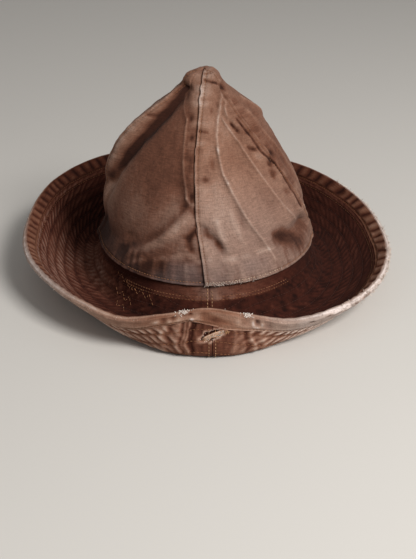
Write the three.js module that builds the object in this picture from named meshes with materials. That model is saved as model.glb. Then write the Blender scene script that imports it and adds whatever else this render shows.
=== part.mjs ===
// A cotton sou'wester: a tall crown of four lapped gores on a wide brim of two plies, whose edge is
// bound by a folded hem. The brim is turned up all round like a dish, and the hat rests on the
// bottom of that dish. Millimetres, +Z up, and the front faces -Y.
//
// An azimuth is counted in degrees from the front, past +X at 90. A place on the crown is a pair
// [gore, share]: gore counts the seams, 0 at the front, 1 at +X, 2 at the back, 3 at -X and 4 at
// the front again, and share goes from 0 at the crown seam to 1 at the tip.
import * as THREE from "three";

const SEAM_HEIGHT = 34; // the crown seam above the surface that the hat rests on
const CLOTH = 1.2; // thickness of a gore
const PLY = 1.1; // thickness of each of the brim's two plies
const HEM = 1; // thickness of the folded hem
const GAP = 0.35; // clearance between layers that are sewn together
const COLLAR_GAP = 0.7; // clearance between the crown and the brim that stands up inside it
const LAP = 9; // how far a gore runs under its neighbour
const LAP_RAMP = 5; // over which the upper gore comes down again
const LAP_LIMIT = 0.28; // the most of a gore's width that a lap takes near the tip
const COLLAR = 9; // how far the brim's plies stand up inside the crown
const REST_STRIP = 7; // width of the flat strip that the hat rests on
const HEM_WIDTH = 11.5; // on the upper side of the brim and on its underside
const GORE_LENGTH = 173; // from crown seam to tip, along the cloth
const TIP_SHARE = 0.97; // above this the cloth's direction is taken from just below the tip
const BRIM_SEAM = 2; // azimuth of the seam between the brim's halves at the front; the other is at 180
const HALF_SPLIT = 0.08; // degrees between a brim half's edge and that seam

// Faces: rows and columns of the solids' flat facets.
const CROWN_ROWS = 18;
const GORE_COLUMNS = 11;
const BRIM_COLUMNS = 30;
const SLOPE_ROWS = 3;
const WALL_ROWS = 3;

// The crown at rising heights above the crown seam: how far the wall stands from the axis at the
// front, right (+X), back and left, and the azimuths at which the four gore seams pass there.
const CROWN_SECTIONS = [
  { rise: 0, front: 96.5, right: 87.5, back: 96, left: 86, seam0: 0, seam1: 88, seam2: 180, seam3: 268 },
  { rise: 14, front: 91, right: 83, back: 94, left: 79, seam0: -1, seam1: 84, seam2: 180, seam3: 269 },
  { rise: 28, front: 84, right: 79.5, back: 90, left: 79.5, seam0: -3, seam1: 77, seam2: 180, seam3: 270 },
  { rise: 42, front: 76, right: 76, back: 84.5, left: 78, seam0: -5, seam1: 71, seam2: 180, seam3: 271 },
  { rise: 56, front: 67.5, right: 70.5, back: 77.5, left: 75, seam0: -6, seam1: 66, seam2: 179, seam3: 272 },
  { rise: 69, front: 59, right: 63.5, back: 69, left: 70, seam0: -7, seam1: 62, seam2: 178, seam3: 273 },
  { rise: 82, front: 50.5, right: 56.5, back: 59, left: 63.5, seam0: -8, seam1: 57, seam2: 176, seam3: 276 },
  { rise: 94, front: 42, right: 48.5, back: 49, left: 54.5, seam0: -8, seam1: 52, seam2: 174, seam3: 280 },
  { rise: 105, front: 34, right: 44, back: 39, left: 42.5, seam0: -8, seam1: 47, seam2: 172, seam3: 284 },
  { rise: 115, front: 27, right: 28.5, back: 29, left: 28.5, seam0: -8, seam1: 45, seam2: 170, seam3: 286 },
  { rise: 124, front: 19.5, right: 17, back: 20, left: 18.5, seam0: -8, seam1: 46, seam2: 170, seam3: 284 },
  { rise: 132, front: 12, right: 11, back: 12, left: 13, seam0: -8, seam1: 50, seam2: 172, seam3: 280 },
  { rise: 138, front: 1.2, right: 1.2, back: 1.2, left: 1.2, seam0: -8, seam1: 60, seam2: 175, seam3: 275 },
];

// The gores in turn from the front seam, and the share of its distance from the axis by which each
// is drawn in half way between its seams. At each of its two seams a gore lies over its neighbour,
// ending there in a fold, or it runs on under it.
const GORES = [
  { name: "crown_front_right", hollow: 0.03, overFirst: true, overLast: true },
  { name: "crown_back_right", hollow: 0.03, overFirst: false, overLast: true },
  { name: "crown_back_left", hollow: 0.04, overFirst: false, overLast: false },
  { name: "crown_front_left", hollow: 0.05, overFirst: true, overLast: false },
];

// Folds and dents of the crown along paths of places. The cloth stands out along a path by stand,
// or in where stand is negative, and spread is how far to each side that reaches.
const CROWN_FOLDS = [
  { name: "left valley", path: [[3.29, 0.83], [3.2, 0.47], [3.1, 0.28]], stand: -6.5, spread: 8 },
  { name: "left ridge", path: [[3.04, 0.8], [3, 0.35]], stand: 2, spread: 8 },
  { name: "left tuck", path: [[3.87, 0.36], [3.7, 0.2], [3.52, 0.12]], stand: -3, spread: 7 },
  { name: "right crease", path: [[0.36, 0.54], [0.34, 0.42], [0.48, 0.1]], stand: 2, spread: 6 },
  { name: "right hollow", path: [[0.58, 0.52], [0.64, 0.2]], stand: -2.5, spread: 9 },
  { name: "right dent", path: [[0.62, 0.13], [0.88, 0.13]], stand: -5, spread: 8 },
  { name: "front dimple", path: [[0.03, 0.22], [0.12, 0.13]], stand: -3.5, spread: 6 },
  { name: "back dent", path: [[1.6, 0.62], [1.85, 0.4]], stand: -4, spread: 12 },
  { name: "back crease", path: [[2.3, 0.7], [2.5, 0.25]], stand: -4, spread: 12 },
];
const FLAT_SHARE = 0.055; // up to here, where the brim stands inside it, the crown has no folds
const FOLDS_BEGIN = [FLAT_SHARE, 0.14]; // shares between which the folds rise to their full depth
const FOLDS_END = [0.84, 0.98]; // and between which they fade out below the tip
const SEAM_RIDGE = { stand: 1.6, spread: 11 };

// The brim round the hat. trough and low give the middle of the strip at the bottom of the dish,
// as a distance from the axis and a height above the resting surface, reach and rim the same for
// the brim's edge, and lean is the cloth's slope at the edge, in degrees.
const BRIM_STATIONS = [
  { azimuth: 0, trough: 135, low: 0, reach: 140, rim: 38, lean: 86 },
  { azimuth: 12, trough: 134, low: 0, reach: 142, rim: 33, lean: 82 },
  { azimuth: 24, trough: 126, low: 0, reach: 147, rim: 26.5, lean: 66 },
  { azimuth: 38, trough: 118, low: 1, reach: 149.5, rim: 25, lean: 54 },
  { azimuth: 58, trough: 110, low: 2, reach: 149.5, rim: 24.5, lean: 42 },
  { azimuth: 77, trough: 105, low: 3, reach: 148.5, rim: 26, lean: 42 },
  { azimuth: 95, trough: 104, low: 3, reach: 148.5, rim: 26, lean: 42 },
  { azimuth: 120, trough: 109, low: 2, reach: 151.5, rim: 33.5, lean: 46 },
  { azimuth: 145, trough: 117, low: 0, reach: 151.5, rim: 42.5, lean: 56 },
  { azimuth: 180, trough: 124, low: 0, reach: 149, rim: 47.5, lean: 64 },
  { azimuth: 215, trough: 118, low: 0, reach: 151, rim: 53, lean: 58 },
  { azimuth: 240, trough: 110, low: 2, reach: 151.5, rim: 47.5, lean: 50 },
  { azimuth: 265, trough: 104, low: 3, reach: 146.5, rim: 36.5, lean: 46 },
  { azimuth: 285, trough: 103, low: 3, reach: 145, rim: 34.5, lean: 45 },
  { azimuth: 305, trough: 102, low: 2, reach: 144.5, rim: 33.5, lean: 46 },
  { azimuth: 322, trough: 106, low: 2, reach: 146.5, rim: 32, lean: 52 },
  { azimuth: 336, trough: 118, low: 0, reach: 147, rim: 28.5, lean: 64 },
  { azimuth: 348, trough: 131, low: 0, reach: 143, rim: 33.5, lean: 82 },
];

const { degToRad, clamp, lerp, smoothstep, euclideanModulo } = THREE.MathUtils;

// Tables.

// Height at t of the smooth curve from y1 at 0 to y2 at 1 with the given end slopes.
function hermite(y1, y2, slope1, slope2, t) {
  const rise = y2 - y1;
  return y1 + t * (slope1 + t * (3 * rise - 2 * slope1 - slope2 + t * (slope1 + slope2 - 2 * rise)));
}

// A column of the crown's table at a share of the way up. Its rows are evenly spaced on the cloth.
function crownColumn(column, share) {
  const last = CROWN_SECTIONS.length - 1;
  const place = clamp(share, 0, 1) * last;
  const row = Math.min(Math.floor(place), last - 1);
  const value = (k) => CROWN_SECTIONS[clamp(k, 0, last)][column];
  const slope = (k) => (value(k + 1) - value(k - 1)) / 2;
  return hermite(value(row), value(row + 1), slope(row), slope(row + 1), place - row);
}

// A column of the brim's table at any azimuth.
function brimColumn(column, azimuth) {
  const rows = BRIM_STATIONS.length;
  const turn = euclideanModulo(azimuth, 360);
  const next = BRIM_STATIONS.findIndex((station) => station.azimuth > turn);
  const row = (next < 0 ? rows : next) - 1;
  const value = (k) => BRIM_STATIONS[euclideanModulo(k, rows)][column];
  const angle = (k) => BRIM_STATIONS[euclideanModulo(k, rows)].azimuth + 360 * Math.floor(k / rows);
  const slope = (k) => (value(k + 1) - value(k - 1)) / (angle(k + 1) - angle(k - 1));
  const step = angle(row + 1) - angle(row);
  const t = (turn - angle(row)) / step;
  return hermite(value(row), value(row + 1), slope(row) * step, slope(row + 1) * step, t);
}

// Crown.

function pointAt(azimuth, radius, height) {
  const angle = degToRad(azimuth);
  return new THREE.Vector3(radius * Math.sin(angle), -radius * Math.cos(angle), height);
}

// Radius of an outline made of four quarter ellipses, which reach as far as the table says.
function crownRadius(azimuth, share) {
  const across = Math.sin(degToRad(azimuth));
  const along = Math.cos(degToRad(azimuth));
  const sideways = crownColumn(across > 0 ? "right" : "left", share);
  const lengthways = crownColumn(along > 0 ? "front" : "back", share);
  return 1 / Math.hypot(across / sideways, along / lengthways);
}

function seamAzimuth(seam, share) {
  return crownColumn("seam" + (seam % 4), share) + (seam === 4 ? 360 : 0);
}

function goreAzimuth(gore, share) {
  const turn = euclideanModulo(gore, 4);
  const seam = Math.floor(turn);
  return lerp(seamAzimuth(seam, share), seamAzimuth(seam + 1, share), turn - seam);
}

function meanRadius(share) {
  const reaches = ["front", "right", "back", "left"].map((side) => crownColumn(side, share));
  return reaches.reduce((sum, reach) => sum + reach) / reaches.length;
}

// Width of one gore across the cloth.
function goreWidth(seam, share) {
  const turn = seamAzimuth(seam + 1, share) - seamAzimuth(seam, share);
  return degToRad(turn) * meanRadius(share);
}

// How far the folds push out the cloth at a place.
function foldStand(gore, share) {
  const width = (Math.PI / 2) * meanRadius(share);
  const flat = ([g, s]) => new THREE.Vector2(g * width, s * GORE_LENGTH);
  const place = flat([euclideanModulo(gore, 4), share]);
  let stand = 0;
  for (const fold of CROWN_FOLDS) {
    const points = fold.path.map(flat);
    const distances = points.slice(1).map((end, k) => distanceToLine(place, points[k], end));
    stand += fold.stand * Math.exp(-((Math.min(...distances) / fold.spread) ** 2));
  }
  return stand * smoothstep(share, ...FOLDS_BEGIN) * (1 - smoothstep(share, ...FOLDS_END));
}

function distanceToLine(place, start, end) {
  const line = end.clone().sub(start);
  const along = clamp(place.clone().sub(start).dot(line) / line.lengthSq(), 0, 1);
  return place.distanceTo(start.clone().addScaledVector(line, along));
}

// The outer face of the crown's lower layer of cloth.
function crownPoint(gore, share) {
  const azimuth = goreAzimuth(gore, share);
  const radius = crownRadius(azimuth, share);
  const turn = euclideanModulo(gore, 4);
  const seam = Math.floor(turn);
  const across = turn - seam;
  const fullness = Math.sin(Math.PI * clamp((share - FLAT_SHARE) / (1 - FLAT_SHARE), 0, 1));
  const hollow = GORES[seam].hollow * Math.sin(Math.PI * across) ** 2 * fullness;
  const fromSeam = Math.min(across, 1 - across) * goreWidth(seam, share);
  const ridge = SEAM_RIDGE.stand * fullness * Math.exp(-((fromSeam / SEAM_RIDGE.spread) ** 2));
  const stand = ridge + foldStand(gore, share) - hollow * radius;
  return pointAt(azimuth, radius + stand, SEAM_HEIGHT + crownColumn("rise", share));
}

// Unit normal of a surface of two numbers, on the left of the first one's way seen along the second's.
function normalOf(surface, a, b, stepA, stepB) {
  const alongA = surface(a + stepA, b).sub(surface(a - stepA, b));
  const alongB = surface(a, b + stepB).sub(surface(a, b - stepB));
  return alongA.cross(alongB).normalize();
}

function crownLayer(gore, share, offset) {
  const inside = clamp(share, 0.01, TIP_SHARE);
  const normal = normalOf(crownPoint, gore, inside, 0.005, 0.005);
  return crownPoint(gore, share).addScaledVector(normal, offset);
}

// Solids.

// A closed sheet. face(column, row, outer) gives the points of its outer and inner faces. Seen from
// outside, its columns go to the right and its rows go up.
function sheetGeometry(columns, rows, face) {
  const positions = [];
  const indices = [];
  for (const outer of [true, false]) {
    for (let row = 0; row < rows; row++) {
      for (let column = 0; column < columns; column++) positions.push(...face(column, row, outer));
    }
  }
  const inner = columns * rows;
  const at = (column, row) => row * columns + column;
  const quad = (a, b, c, d) => indices.push(a, b, c, a, c, d);
  for (let row = 1; row < rows; row++) {
    for (let column = 1; column < columns; column++) {
      const [a, b] = [at(column - 1, row - 1), at(column, row - 1)];
      const [c, d] = [at(column, row), at(column - 1, row)];
      quad(a, b, c, d);
      indices.push(a + inner, c + inner, b + inner, a + inner, d + inner, c + inner);
    }
  }
  const edge = [];
  for (let column = 0; column < columns; column++) edge.push(at(column, 0));
  for (let row = 1; row < rows; row++) edge.push(at(columns - 1, row));
  for (let column = columns - 2; column >= 0; column--) edge.push(at(column, rows - 1));
  for (let row = rows - 2; row > 0; row--) edge.push(at(0, row));
  edge.forEach((a, k) => {
    const b = edge[(k + 1) % edge.length];
    quad(b, a, a + inner, b + inner);
  });
  return solidGeometry(positions, indices);
}

// A closed ring of equal sections, each a loop of points that goes clockwise where the ring is
// seen going away from the eye. A side's quads are split into triangles from its first point on to
// its second, or the other way where crossedSides names it.
function ringGeometry(sections, crossedSides) {
  const sides = sections[0].length;
  const positions = sections.flat().flatMap((point) => [...point]);
  const indices = [];
  for (let turn = 0; turn < sections.length; turn++) {
    const next = (turn + 1) % sections.length;
    for (let side = 0; side < sides; side++) {
      const beside = (side + 1) % sides;
      const [a, b] = [turn * sides + side, turn * sides + beside];
      const [c, d] = [next * sides + beside, next * sides + side];
      if (crossedSides.includes(side)) indices.push(a, b, d, b, c, d);
      else indices.push(a, b, c, a, c, d);
    }
  }
  return solidGeometry(positions, indices);
}

function solidGeometry(positions, indices) {
  const geometry = new THREE.BufferGeometry();
  geometry.setAttribute("position", new THREE.Float32BufferAttribute(positions, 3));
  geometry.setIndex(indices);
  geometry.computeVertexNormals();
  return geometry;
}

// The share of a gore's width that a lap takes, where that gore lies on top.
function lapShare(seam, share) {
  return Math.min(LAP_LIMIT, LAP / goreWidth(euclideanModulo(seam, 4), share));
}

// The columns of a gore at one height, each a gore place and whether the cloth is lifted there to
// lie over its neighbour.
function goreColumns(seam, share) {
  const { overFirst, overLast } = GORES[seam];
  const lap = lapShare(seam, share);
  const ramp = (lap * LAP_RAMP) / LAP;
  const column = (place, lifted) => ({ place, lifted });
  const columns = overFirst
    ? [column(seam, true), column(seam + lap, true)]
    : [column(seam - lapShare(seam - 1, share), false), column(seam, false)];
  for (let k = 0; k <= GORE_COLUMNS; k++) {
    columns.push(column(lerp(seam + lap + ramp, seam + 1 - lap - ramp, k / GORE_COLUMNS), false));
  }
  return columns.concat(
    overLast
      ? [column(seam + 1 - lap, true), column(seam + 1, true)]
      : [column(seam + 1, false), column(seam + 1 + lapShare(seam + 1, share), false)],
  );
}

function goreGeometry(seam) {
  const columns = goreColumns(seam, 0).length;
  return sheetGeometry(columns, CROWN_ROWS + 1, (column, row, outer) => {
    const share = row / CROWN_ROWS;
    const { place, lifted } = goreColumns(seam, share)[column];
    return crownLayer(place, share, (lifted ? CLOTH + GAP : 0) - (outer ? 0 : CLOTH));
  });
}

// Brim.

const UNDER_TOP = -PLY - GAP; // the under ply's upper face, below the upper ply's
const UNDERSIDE = UNDER_TOP - PLY;
const BRIM_ROWS = 1 + SLOPE_ROWS + 1 + WALL_ROWS + 1;
const RIM_PLACE = BRIM_ROWS; // places count the rows from the top of the collar out to the rim

// The brim's profile at an azimuth, on the upper ply's upper face, as curves of
// [distance from the axis, height]: the slope down from the crown seam, and the wall up to the rim.
function brimProfile(azimuth) {
  const [trough, low, reach, rim] = ["trough", "low", "reach", "rim"].map((c) => brimColumn(c, azimuth));
  const lean = degToRad(brimColumn("lean", azimuth));
  const bottom = low - UNDERSIDE;
  const point = (x, y) => new THREE.Vector2(x, y);
  const top = point(crownRadius(azimuth, 0) - CLOTH - COLLAR_GAP, SEAM_HEIGHT - GAP);
  const strip = [point(trough - REST_STRIP / 2, bottom), point(trough + REST_STRIP / 2, bottom)];
  const edge = point(reach, rim);
  const run = strip[0].x - top.x;
  const wall = edge.distanceTo(strip[1]);
  const slopeCurve = new THREE.CubicBezierCurve(
    top,
    point(top.x + 0.12 * run, lerp(top.y, bottom, 0.45)),
    point(strip[0].x - 0.55 * run, bottom),
    strip[0],
  );
  const wallCurve = new THREE.CubicBezierCurve(
    strip[1],
    point(strip[1].x + 0.3 * wall, bottom),
    point(edge.x - 0.42 * wall * Math.cos(lean), edge.y - 0.42 * wall * Math.sin(lean)),
    edge,
  );
  return { slopeCurve, wallCurve };
}

function brimPoint(azimuth, place) {
  if (place < 1) {
    const share = ((1 - place) * COLLAR) / GORE_LENGTH;
    const radius = crownRadius(azimuth, share) - CLOTH - COLLAR_GAP;
    return pointAt(azimuth, radius, SEAM_HEIGHT - GAP + (1 - place) * COLLAR);
  }
  const { slopeCurve, wallCurve } = brimProfile(azimuth);
  const spot = profileSpot(slopeCurve, wallCurve, place - 1);
  return pointAt(azimuth, spot.x, spot.y);
}

// A point of the profile at a place that counts its rows from the crown seam. The last row is as
// wide as the hem.
function profileSpot(slopeCurve, wallCurve, place) {
  if (place <= SLOPE_ROWS) return slopeCurve.getPointAt(place / SLOPE_ROWS);
  const onWall = place - SLOPE_ROWS - 1;
  if (onWall < 0) return slopeCurve.getPoint(1).lerp(wallCurve.getPoint(0), 1 + onWall);
  const hemStart = 1 - HEM_WIDTH / wallCurve.getLength();
  if (onWall <= WALL_ROWS) return wallCurve.getPointAt((hemStart * onWall) / WALL_ROWS);
  return wallCurve.getPointAt(Math.min(1, lerp(hemStart, 1, onWall - WALL_ROWS)));
}

// A point at an offset above the upper ply's upper face.
function brimLayer(azimuth, place, offset) {
  const inside = clamp(place, 0.05, RIM_PLACE - 0.05);
  const upward = normalOf(brimPoint, azimuth, inside, 0.5, 0.04).negate();
  return brimPoint(azimuth, place).addScaledVector(upward, offset);
}

function plyGeometry(start, end, top) {
  return sheetGeometry(BRIM_COLUMNS + 1, BRIM_ROWS + 1, (column, row, outer) => {
    return brimLayer(lerp(start, end, column / BRIM_COLUMNS), row, outer ? top - PLY : top);
  });
}

// The hem's sides that run inwards along the brim are split the way the plies' faces are.
const HEM_CROSSED_SIDES = [5, 9];

// The hem's section at an azimuth: out along the upper face, round the rim and back below.
function hemSection(azimuth) {
  const start = RIM_PLACE - 1;
  const outward = brimPoint(azimuth, RIM_PLACE).sub(brimPoint(azimuth, RIM_PLACE - 0.1)).normalize();
  const beyond = (offset, reach) => brimLayer(azimuth, RIM_PLACE, offset).addScaledVector(outward, reach);
  const [above, below] = [GAP + HEM, UNDERSIDE - GAP - HEM];
  return [
    brimLayer(azimuth, start, GAP),
    brimLayer(azimuth, start, above),
    brimLayer(azimuth, RIM_PLACE, above),
    beyond(UNDERSIDE * 0.2, GAP + HEM),
    beyond(UNDERSIDE * 0.8, GAP + HEM),
    brimLayer(azimuth, RIM_PLACE, below),
    brimLayer(azimuth, start, below),
    brimLayer(azimuth, start, UNDERSIDE - GAP),
    beyond(UNDERSIDE - GAP, GAP),
    beyond(GAP, GAP),
  ];
}

// Pieces.

const hat = new THREE.Group();

function addPiece(name, geometry, colour) {
  const material = new THREE.MeshStandardMaterial({ color: colour, roughness: 0.9, metalness: 0 });
  const mesh = new THREE.Mesh(geometry, material);
  mesh.name = name;
  hat.add(mesh);
}

const COLOURS = { crown: "#93694f", upper: "#4a281d", under: "#7a5443", hem: "#8a6250" };

GORES.forEach(({ name }, seam) => addPiece(name, goreGeometry(seam), COLOURS.crown));
const HALVES = [
  { side: "right", from: BRIM_SEAM, to: 180 },
  { side: "left", from: 180, to: 360 + BRIM_SEAM },
];
const hemSections = [];
for (const { side, from, to } of HALVES) {
  const [start, end] = [from + HALF_SPLIT, to - HALF_SPLIT];
  addPiece("brim_upper_" + side, plyGeometry(start, end, 0), COLOURS.upper);
  addPiece("brim_under_" + side, plyGeometry(start, end, UNDER_TOP), COLOURS.under);
  for (let k = 0; k < BRIM_COLUMNS; k++) hemSections.push(hemSection(lerp(from, to, k / BRIM_COLUMNS)));
}
addPiece("brim_hem", ringGeometry(hemSections, HEM_CROSSED_SIDES), COLOURS.hem);

// The origin is the middle of the bottom of the hat's box.
const bounds = new THREE.Box3().setFromObject(hat, true);
const middle = bounds.getCenter(new THREE.Vector3());
hat.position.set(-middle.x, -middle.y, -bounds.min.z);

export default hat;
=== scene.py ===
"""A faded cotton sou'wester: a pointed crown of four lapped gores on a wide quilted brim, which is
turned up all round like a dish and bound by a folded hem.

Lengths are millimetres until a mesh is made. An azimuth is counted in degrees from the front (-Y),
past +X at 90. A place on the crown is [gore, share]: gore counts the seams, 0 at the front, 1 at +X,
2 at the back, 3 at -X and 4 at the front again, and share goes from 0 at the crown seam to 1 at the
tip. A place on the brim is an azimuth and a distance in from the rim along the cloth. Fade picks the
cloth's shade from its dyes, from 0 darkest to 1 palest. Mostly it is the wear of the dye, from 0
where it is fresh to 1 where it has gone, but in places it also carries painted shade and painted
light.
"""
import math

import bpy
import numpy as np
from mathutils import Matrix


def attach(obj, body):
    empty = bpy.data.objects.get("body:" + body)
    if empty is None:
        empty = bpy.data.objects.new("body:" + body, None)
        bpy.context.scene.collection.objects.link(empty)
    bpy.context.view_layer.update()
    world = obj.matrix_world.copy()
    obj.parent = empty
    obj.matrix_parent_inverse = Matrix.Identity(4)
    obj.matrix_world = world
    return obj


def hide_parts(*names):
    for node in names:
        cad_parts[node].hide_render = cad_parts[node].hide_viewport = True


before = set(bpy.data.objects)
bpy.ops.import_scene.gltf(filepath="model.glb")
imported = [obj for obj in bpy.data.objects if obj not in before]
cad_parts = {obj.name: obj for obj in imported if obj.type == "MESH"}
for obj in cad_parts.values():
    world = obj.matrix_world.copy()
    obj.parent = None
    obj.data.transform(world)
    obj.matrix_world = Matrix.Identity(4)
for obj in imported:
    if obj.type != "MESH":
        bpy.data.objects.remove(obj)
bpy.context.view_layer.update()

# ---------------------------------------------------------------- sizes

HAT_AXIS = np.array([-1.08, -3.28, 0.17])  # the foot of the crown's axis in the frame
SEAM_HEIGHT = 34.0  # the crown seam above the surface that the hat rests on
GORE_LENGTH = 173.0  # from crown seam to tip, along the cloth
GORE_CLOTH = 1.0  # thickness of a gore
GORE_ARC = 137  # roughly a gore's width at its foot, for the places of its weave
TOP_SHARE = 0.992  # where the gores' cloth ends, just below the tip
FOOT_STITCH = 3.2  # from the crown's lower edge to its line of stitches
SEAM_STITCH = 2.4  # from a gore's folded edge to the stitches beside it
EDGE_LIFT = 1.45  # how far a gore's folded edge stands on the gore beneath it
LAP = 9.0  # how far a gore runs under its neighbour
LAP_LIMIT = 0.28  # the most of a gore's width that a lap takes
ALLOWANCE = 10.0  # width of the turned-in cloth that shows through beside a seam
FLAT_SHARE = 0.055  # up to here, where the brim stands inside it, the crown has no folds
PLY = 0.9  # thickness of each of the brim's plies
UNDERSIDE = -2.55  # the under ply's lower face, from the upper ply's upper face
BRIM_SEAM = 2.0  # azimuth of the brim's front seam; the other is at 180
HALF_SPLIT = 0.03  # degrees between a brim half's edge and its seam
COLLAR = 9.0  # how far the brim stands up inside the crown
COLLAR_INSET = 1.9  # how far inside the crown's outer face the brim's upper face stands there
REST_STRIP = 7.0  # width of the flat strip that the hat rests on
BRIM_INSIDE = 96  # roughly from the axis to the brim's inner edge at the front and back
BRIM_MIDDLE = 115  # and to the middle of the brim's slope
FRONT_REACH = 139  # and to its turned-up front
HEM_WIDTH = 11.0
HEM = 1.0  # thickness of the folded hem
GAP = 0.35  # clearance between layers that are sewn together
ROW_PITCH = 8.6  # between the brim's rows of stitching
FIRST_ROW = 3.5  # from the hem to the first row
BRIM_ROWS = 11
NOISE_CELLS = 64  # after which noise repeats
# Degrees. Noise with cells of this size, a half or a quarter of it closes round the hem.
AZIMUTH_CELL = 360 / NOISE_CELLS

CROWN_COLUMNS = ("front", "right", "back", "left", "seam0", "seam1", "seam2", "seam3", "rise")
CROWN_SECTIONS = np.array([
    (96.5, 87.5, 96, 86, 0, 88, 180, 268, 0),
    (91, 83, 94, 79, -1, 84, 180, 269, 14),
    (84, 79.5, 90, 79.5, -3, 77, 180, 270, 28),
    (76, 76, 84.5, 78, -5, 71, 180, 271, 42),
    (67.5, 70.5, 77.5, 75, -6, 66, 179, 272, 56),
    (59, 63.5, 69, 70, -7, 62, 178, 273, 69),
    (50.5, 56.5, 59, 63.5, -8, 57, 176, 276, 82),
    (42, 48.5, 49, 54.5, -8, 52, 174, 280, 94),
    (34, 44, 39, 42.5, -8, 47, 172, 284, 105),
    (27, 28.5, 29, 28.5, -8, 45, 170, 286, 115),
    (19.5, 17, 20, 18.5, -8, 46, 170, 284, 124),
    (12, 11, 12, 13, -8, 50, 172, 280, 132),
    (1.2, 1.2, 1.2, 1.2, -8, 60, 175, 275, 138),
])

# name, how far it is drawn in between its seams, whether it lies over its neighbours, and its fade, which is
# partly the wear of its dye and partly painted shade that makes the left gores darker
GORES = (
    ("crown_front_right", 0.03, True, True, 0.455),
    ("crown_back_right", 0.03, False, True, 0.42),
    ("crown_back_left", 0.04, False, False, 0.38),
    ("crown_front_left", 0.05, True, False, 0.25),
)

# Broad folds: path of places, how far the cloth stands out along it, and the reach to each side.
FOLDS = (
    (((3.29, 0.83), (3.2, 0.47), (3.1, 0.28)), -6.5, 8),
    (((3.04, 0.8), (3, 0.35)), 2, 8),
    (((3.87, 0.36), (3.7, 0.2), (3.52, 0.12)), -3, 7),
    (((0.36, 0.54), (0.34, 0.42), (0.48, 0.1)), 2, 6),
    (((0.58, 0.52), (0.64, 0.2)), -2.5, 9),
    (((0.55, 0.12), (0.9, 0.12)), -4, 7),
    (((0.03, 0.22), (0.12, 0.13)), -3.5, 6),
    (((1.6, 0.62), (1.85, 0.4)), -4, 12),
    (((2.3, 0.7), (2.5, 0.25)), -4, 12),
)
FOLDS_BEGIN = (FLAT_SHARE, 0.14)
FOLDS_END = (0.84, 0.98)
SEAM_RIDGE = (1.6, 11)  # stand and reach

# Sharp creases: path, stand, reach, how much the cloth is faded along it and how far to each side.
CREASES = (
    (((3.78, 0.68), (3.85, 0.54), (3.91, 0.4), (3.93, 0.34)), 0.6, 1.8, 0.2, 1.0),
    (((3.93, 0.34), (3.96, 0.32), (3.99, 0.32)), 0.6, 1.6, 0.2, 0.9),
    (((3.27, 0.81), (3.6, 0.74), (3.78, 0.68)), 0.4, 1.8, 0.12, 1.0),
    (((3.95, 0.27), (3.83, 0.2), (3.7, 0.14), (3.55, 0.08)), 1.1, 4.5, 0.24, 4.5),
    (((0.75, 0.81), (0.46, 0.68), (0.35, 0.6), (0.32, 0.54)), 0.8, 2.6, 0.24, 1.5),
    (((0.32, 0.54), (0.31, 0.44), (0.33, 0.4)), 0.9, 2.2, 0.24, 1.1),
    (((0.33, 0.4), (0.37, 0.3), (0.42, 0.16), (0.43, 0.06)), 0.9, 2.0, 0.2, 0.9),
    (((0.58, 0.68), (0.7, 0.56), (0.73, 0.4), (0.77, 0.25), (0.82, 0.16)), 0.8, 2.2, 0.17, 1.0),
    (((0.76, 0.8), (0.8, 0.76), (0.72, 0.74), (0.7, 0.7)), 0.7, 1.8, 0.16, 1.3),
    (((0.15, 0.25), (0.16, 0.14)), 1.2, 4.0, 0.14, 3.0),
    (((0.28, 0.27), (0.28, 0.15)), 0.8, 3.6, 0.1, 3.0),
    (((3.02, 0.8), (3.04, 0.6), (3.06, 0.42)), 0.6, 3.0, 0.1, 1.4),
    (((1.3, 0.75), (1.45, 0.5), (1.4, 0.2)), 1.0, 2.6, 0.14, 1.2),
    (((1.12, 0.7), (1.16, 0.45), (1.12, 0.2)), 0.7, 2.6, 0.1, 1.2),
    (((2.7, 0.8), (2.62, 0.5), (2.75, 0.18)), 1.0, 2.6, 0.14, 1.2),
    (((1.85, 0.75), (1.86, 0.45), (1.84, 0.2)), 0.7, 2.6, 0.1, 1.2),
    (((2.15, 0.75), (2.14, 0.45), (2.16, 0.2)), 0.7, 2.6, 0.1, 1.2),
)

# Thin dark folds, where the cloth is tucked in: path, stand, reach, and how much darker it is painted along
# the fold, as painted shade.
TUCKS = (
    (((0.87, 0.67), (0.91, 0.58), (0.9, 0.5), (0.97, 0.44)), -1.0, 1.7, 0.4),
    (((0.97, 0.44), (0.95, 0.3), (0.95, 0.2)), -1.0, 1.6, 0.3),
    (((1.03, 0.48), (0.9, 0.44)), -1.0, 2.6, 0.3),
    (((0.72, 0.65), (0.76, 0.62)), -1.2, 2.2, 0.42),
    (((0.79, 0.53), (0.84, 0.52)), -1.0, 1.9, 0.36),
    (((0.88, 0.4), (0.86, 0.39)), -1.0, 3.2, 0.26),
    (((0.12, 0.91), (0.45, 0.89), (0.7, 0.88)), -0.8, 1.5, 0.46),
    (((0.1, 0.94), (0.5, 0.94)), -0.7, 1.3, 0.34),
    (((0.04, 0.63), (0.19, 0.62)), -0.7, 1.2, 0.34),
    (((3.92, 0.31), (3.76, 0.19), (3.61, 0.12), (3.46, 0.06)), -0.8, 3.4, 0.2),
    (((0.06, 0.21), (0.13, 0.15)), -1.4, 4.8, 0.27),
    (((3.99, 0.22), (3.94, 0.19)), -0.8, 2.2, 0.24),
    (((3.94, 0.18), (3.95, 0.15)), -0.8, 2.4, 0.26),
)
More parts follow.
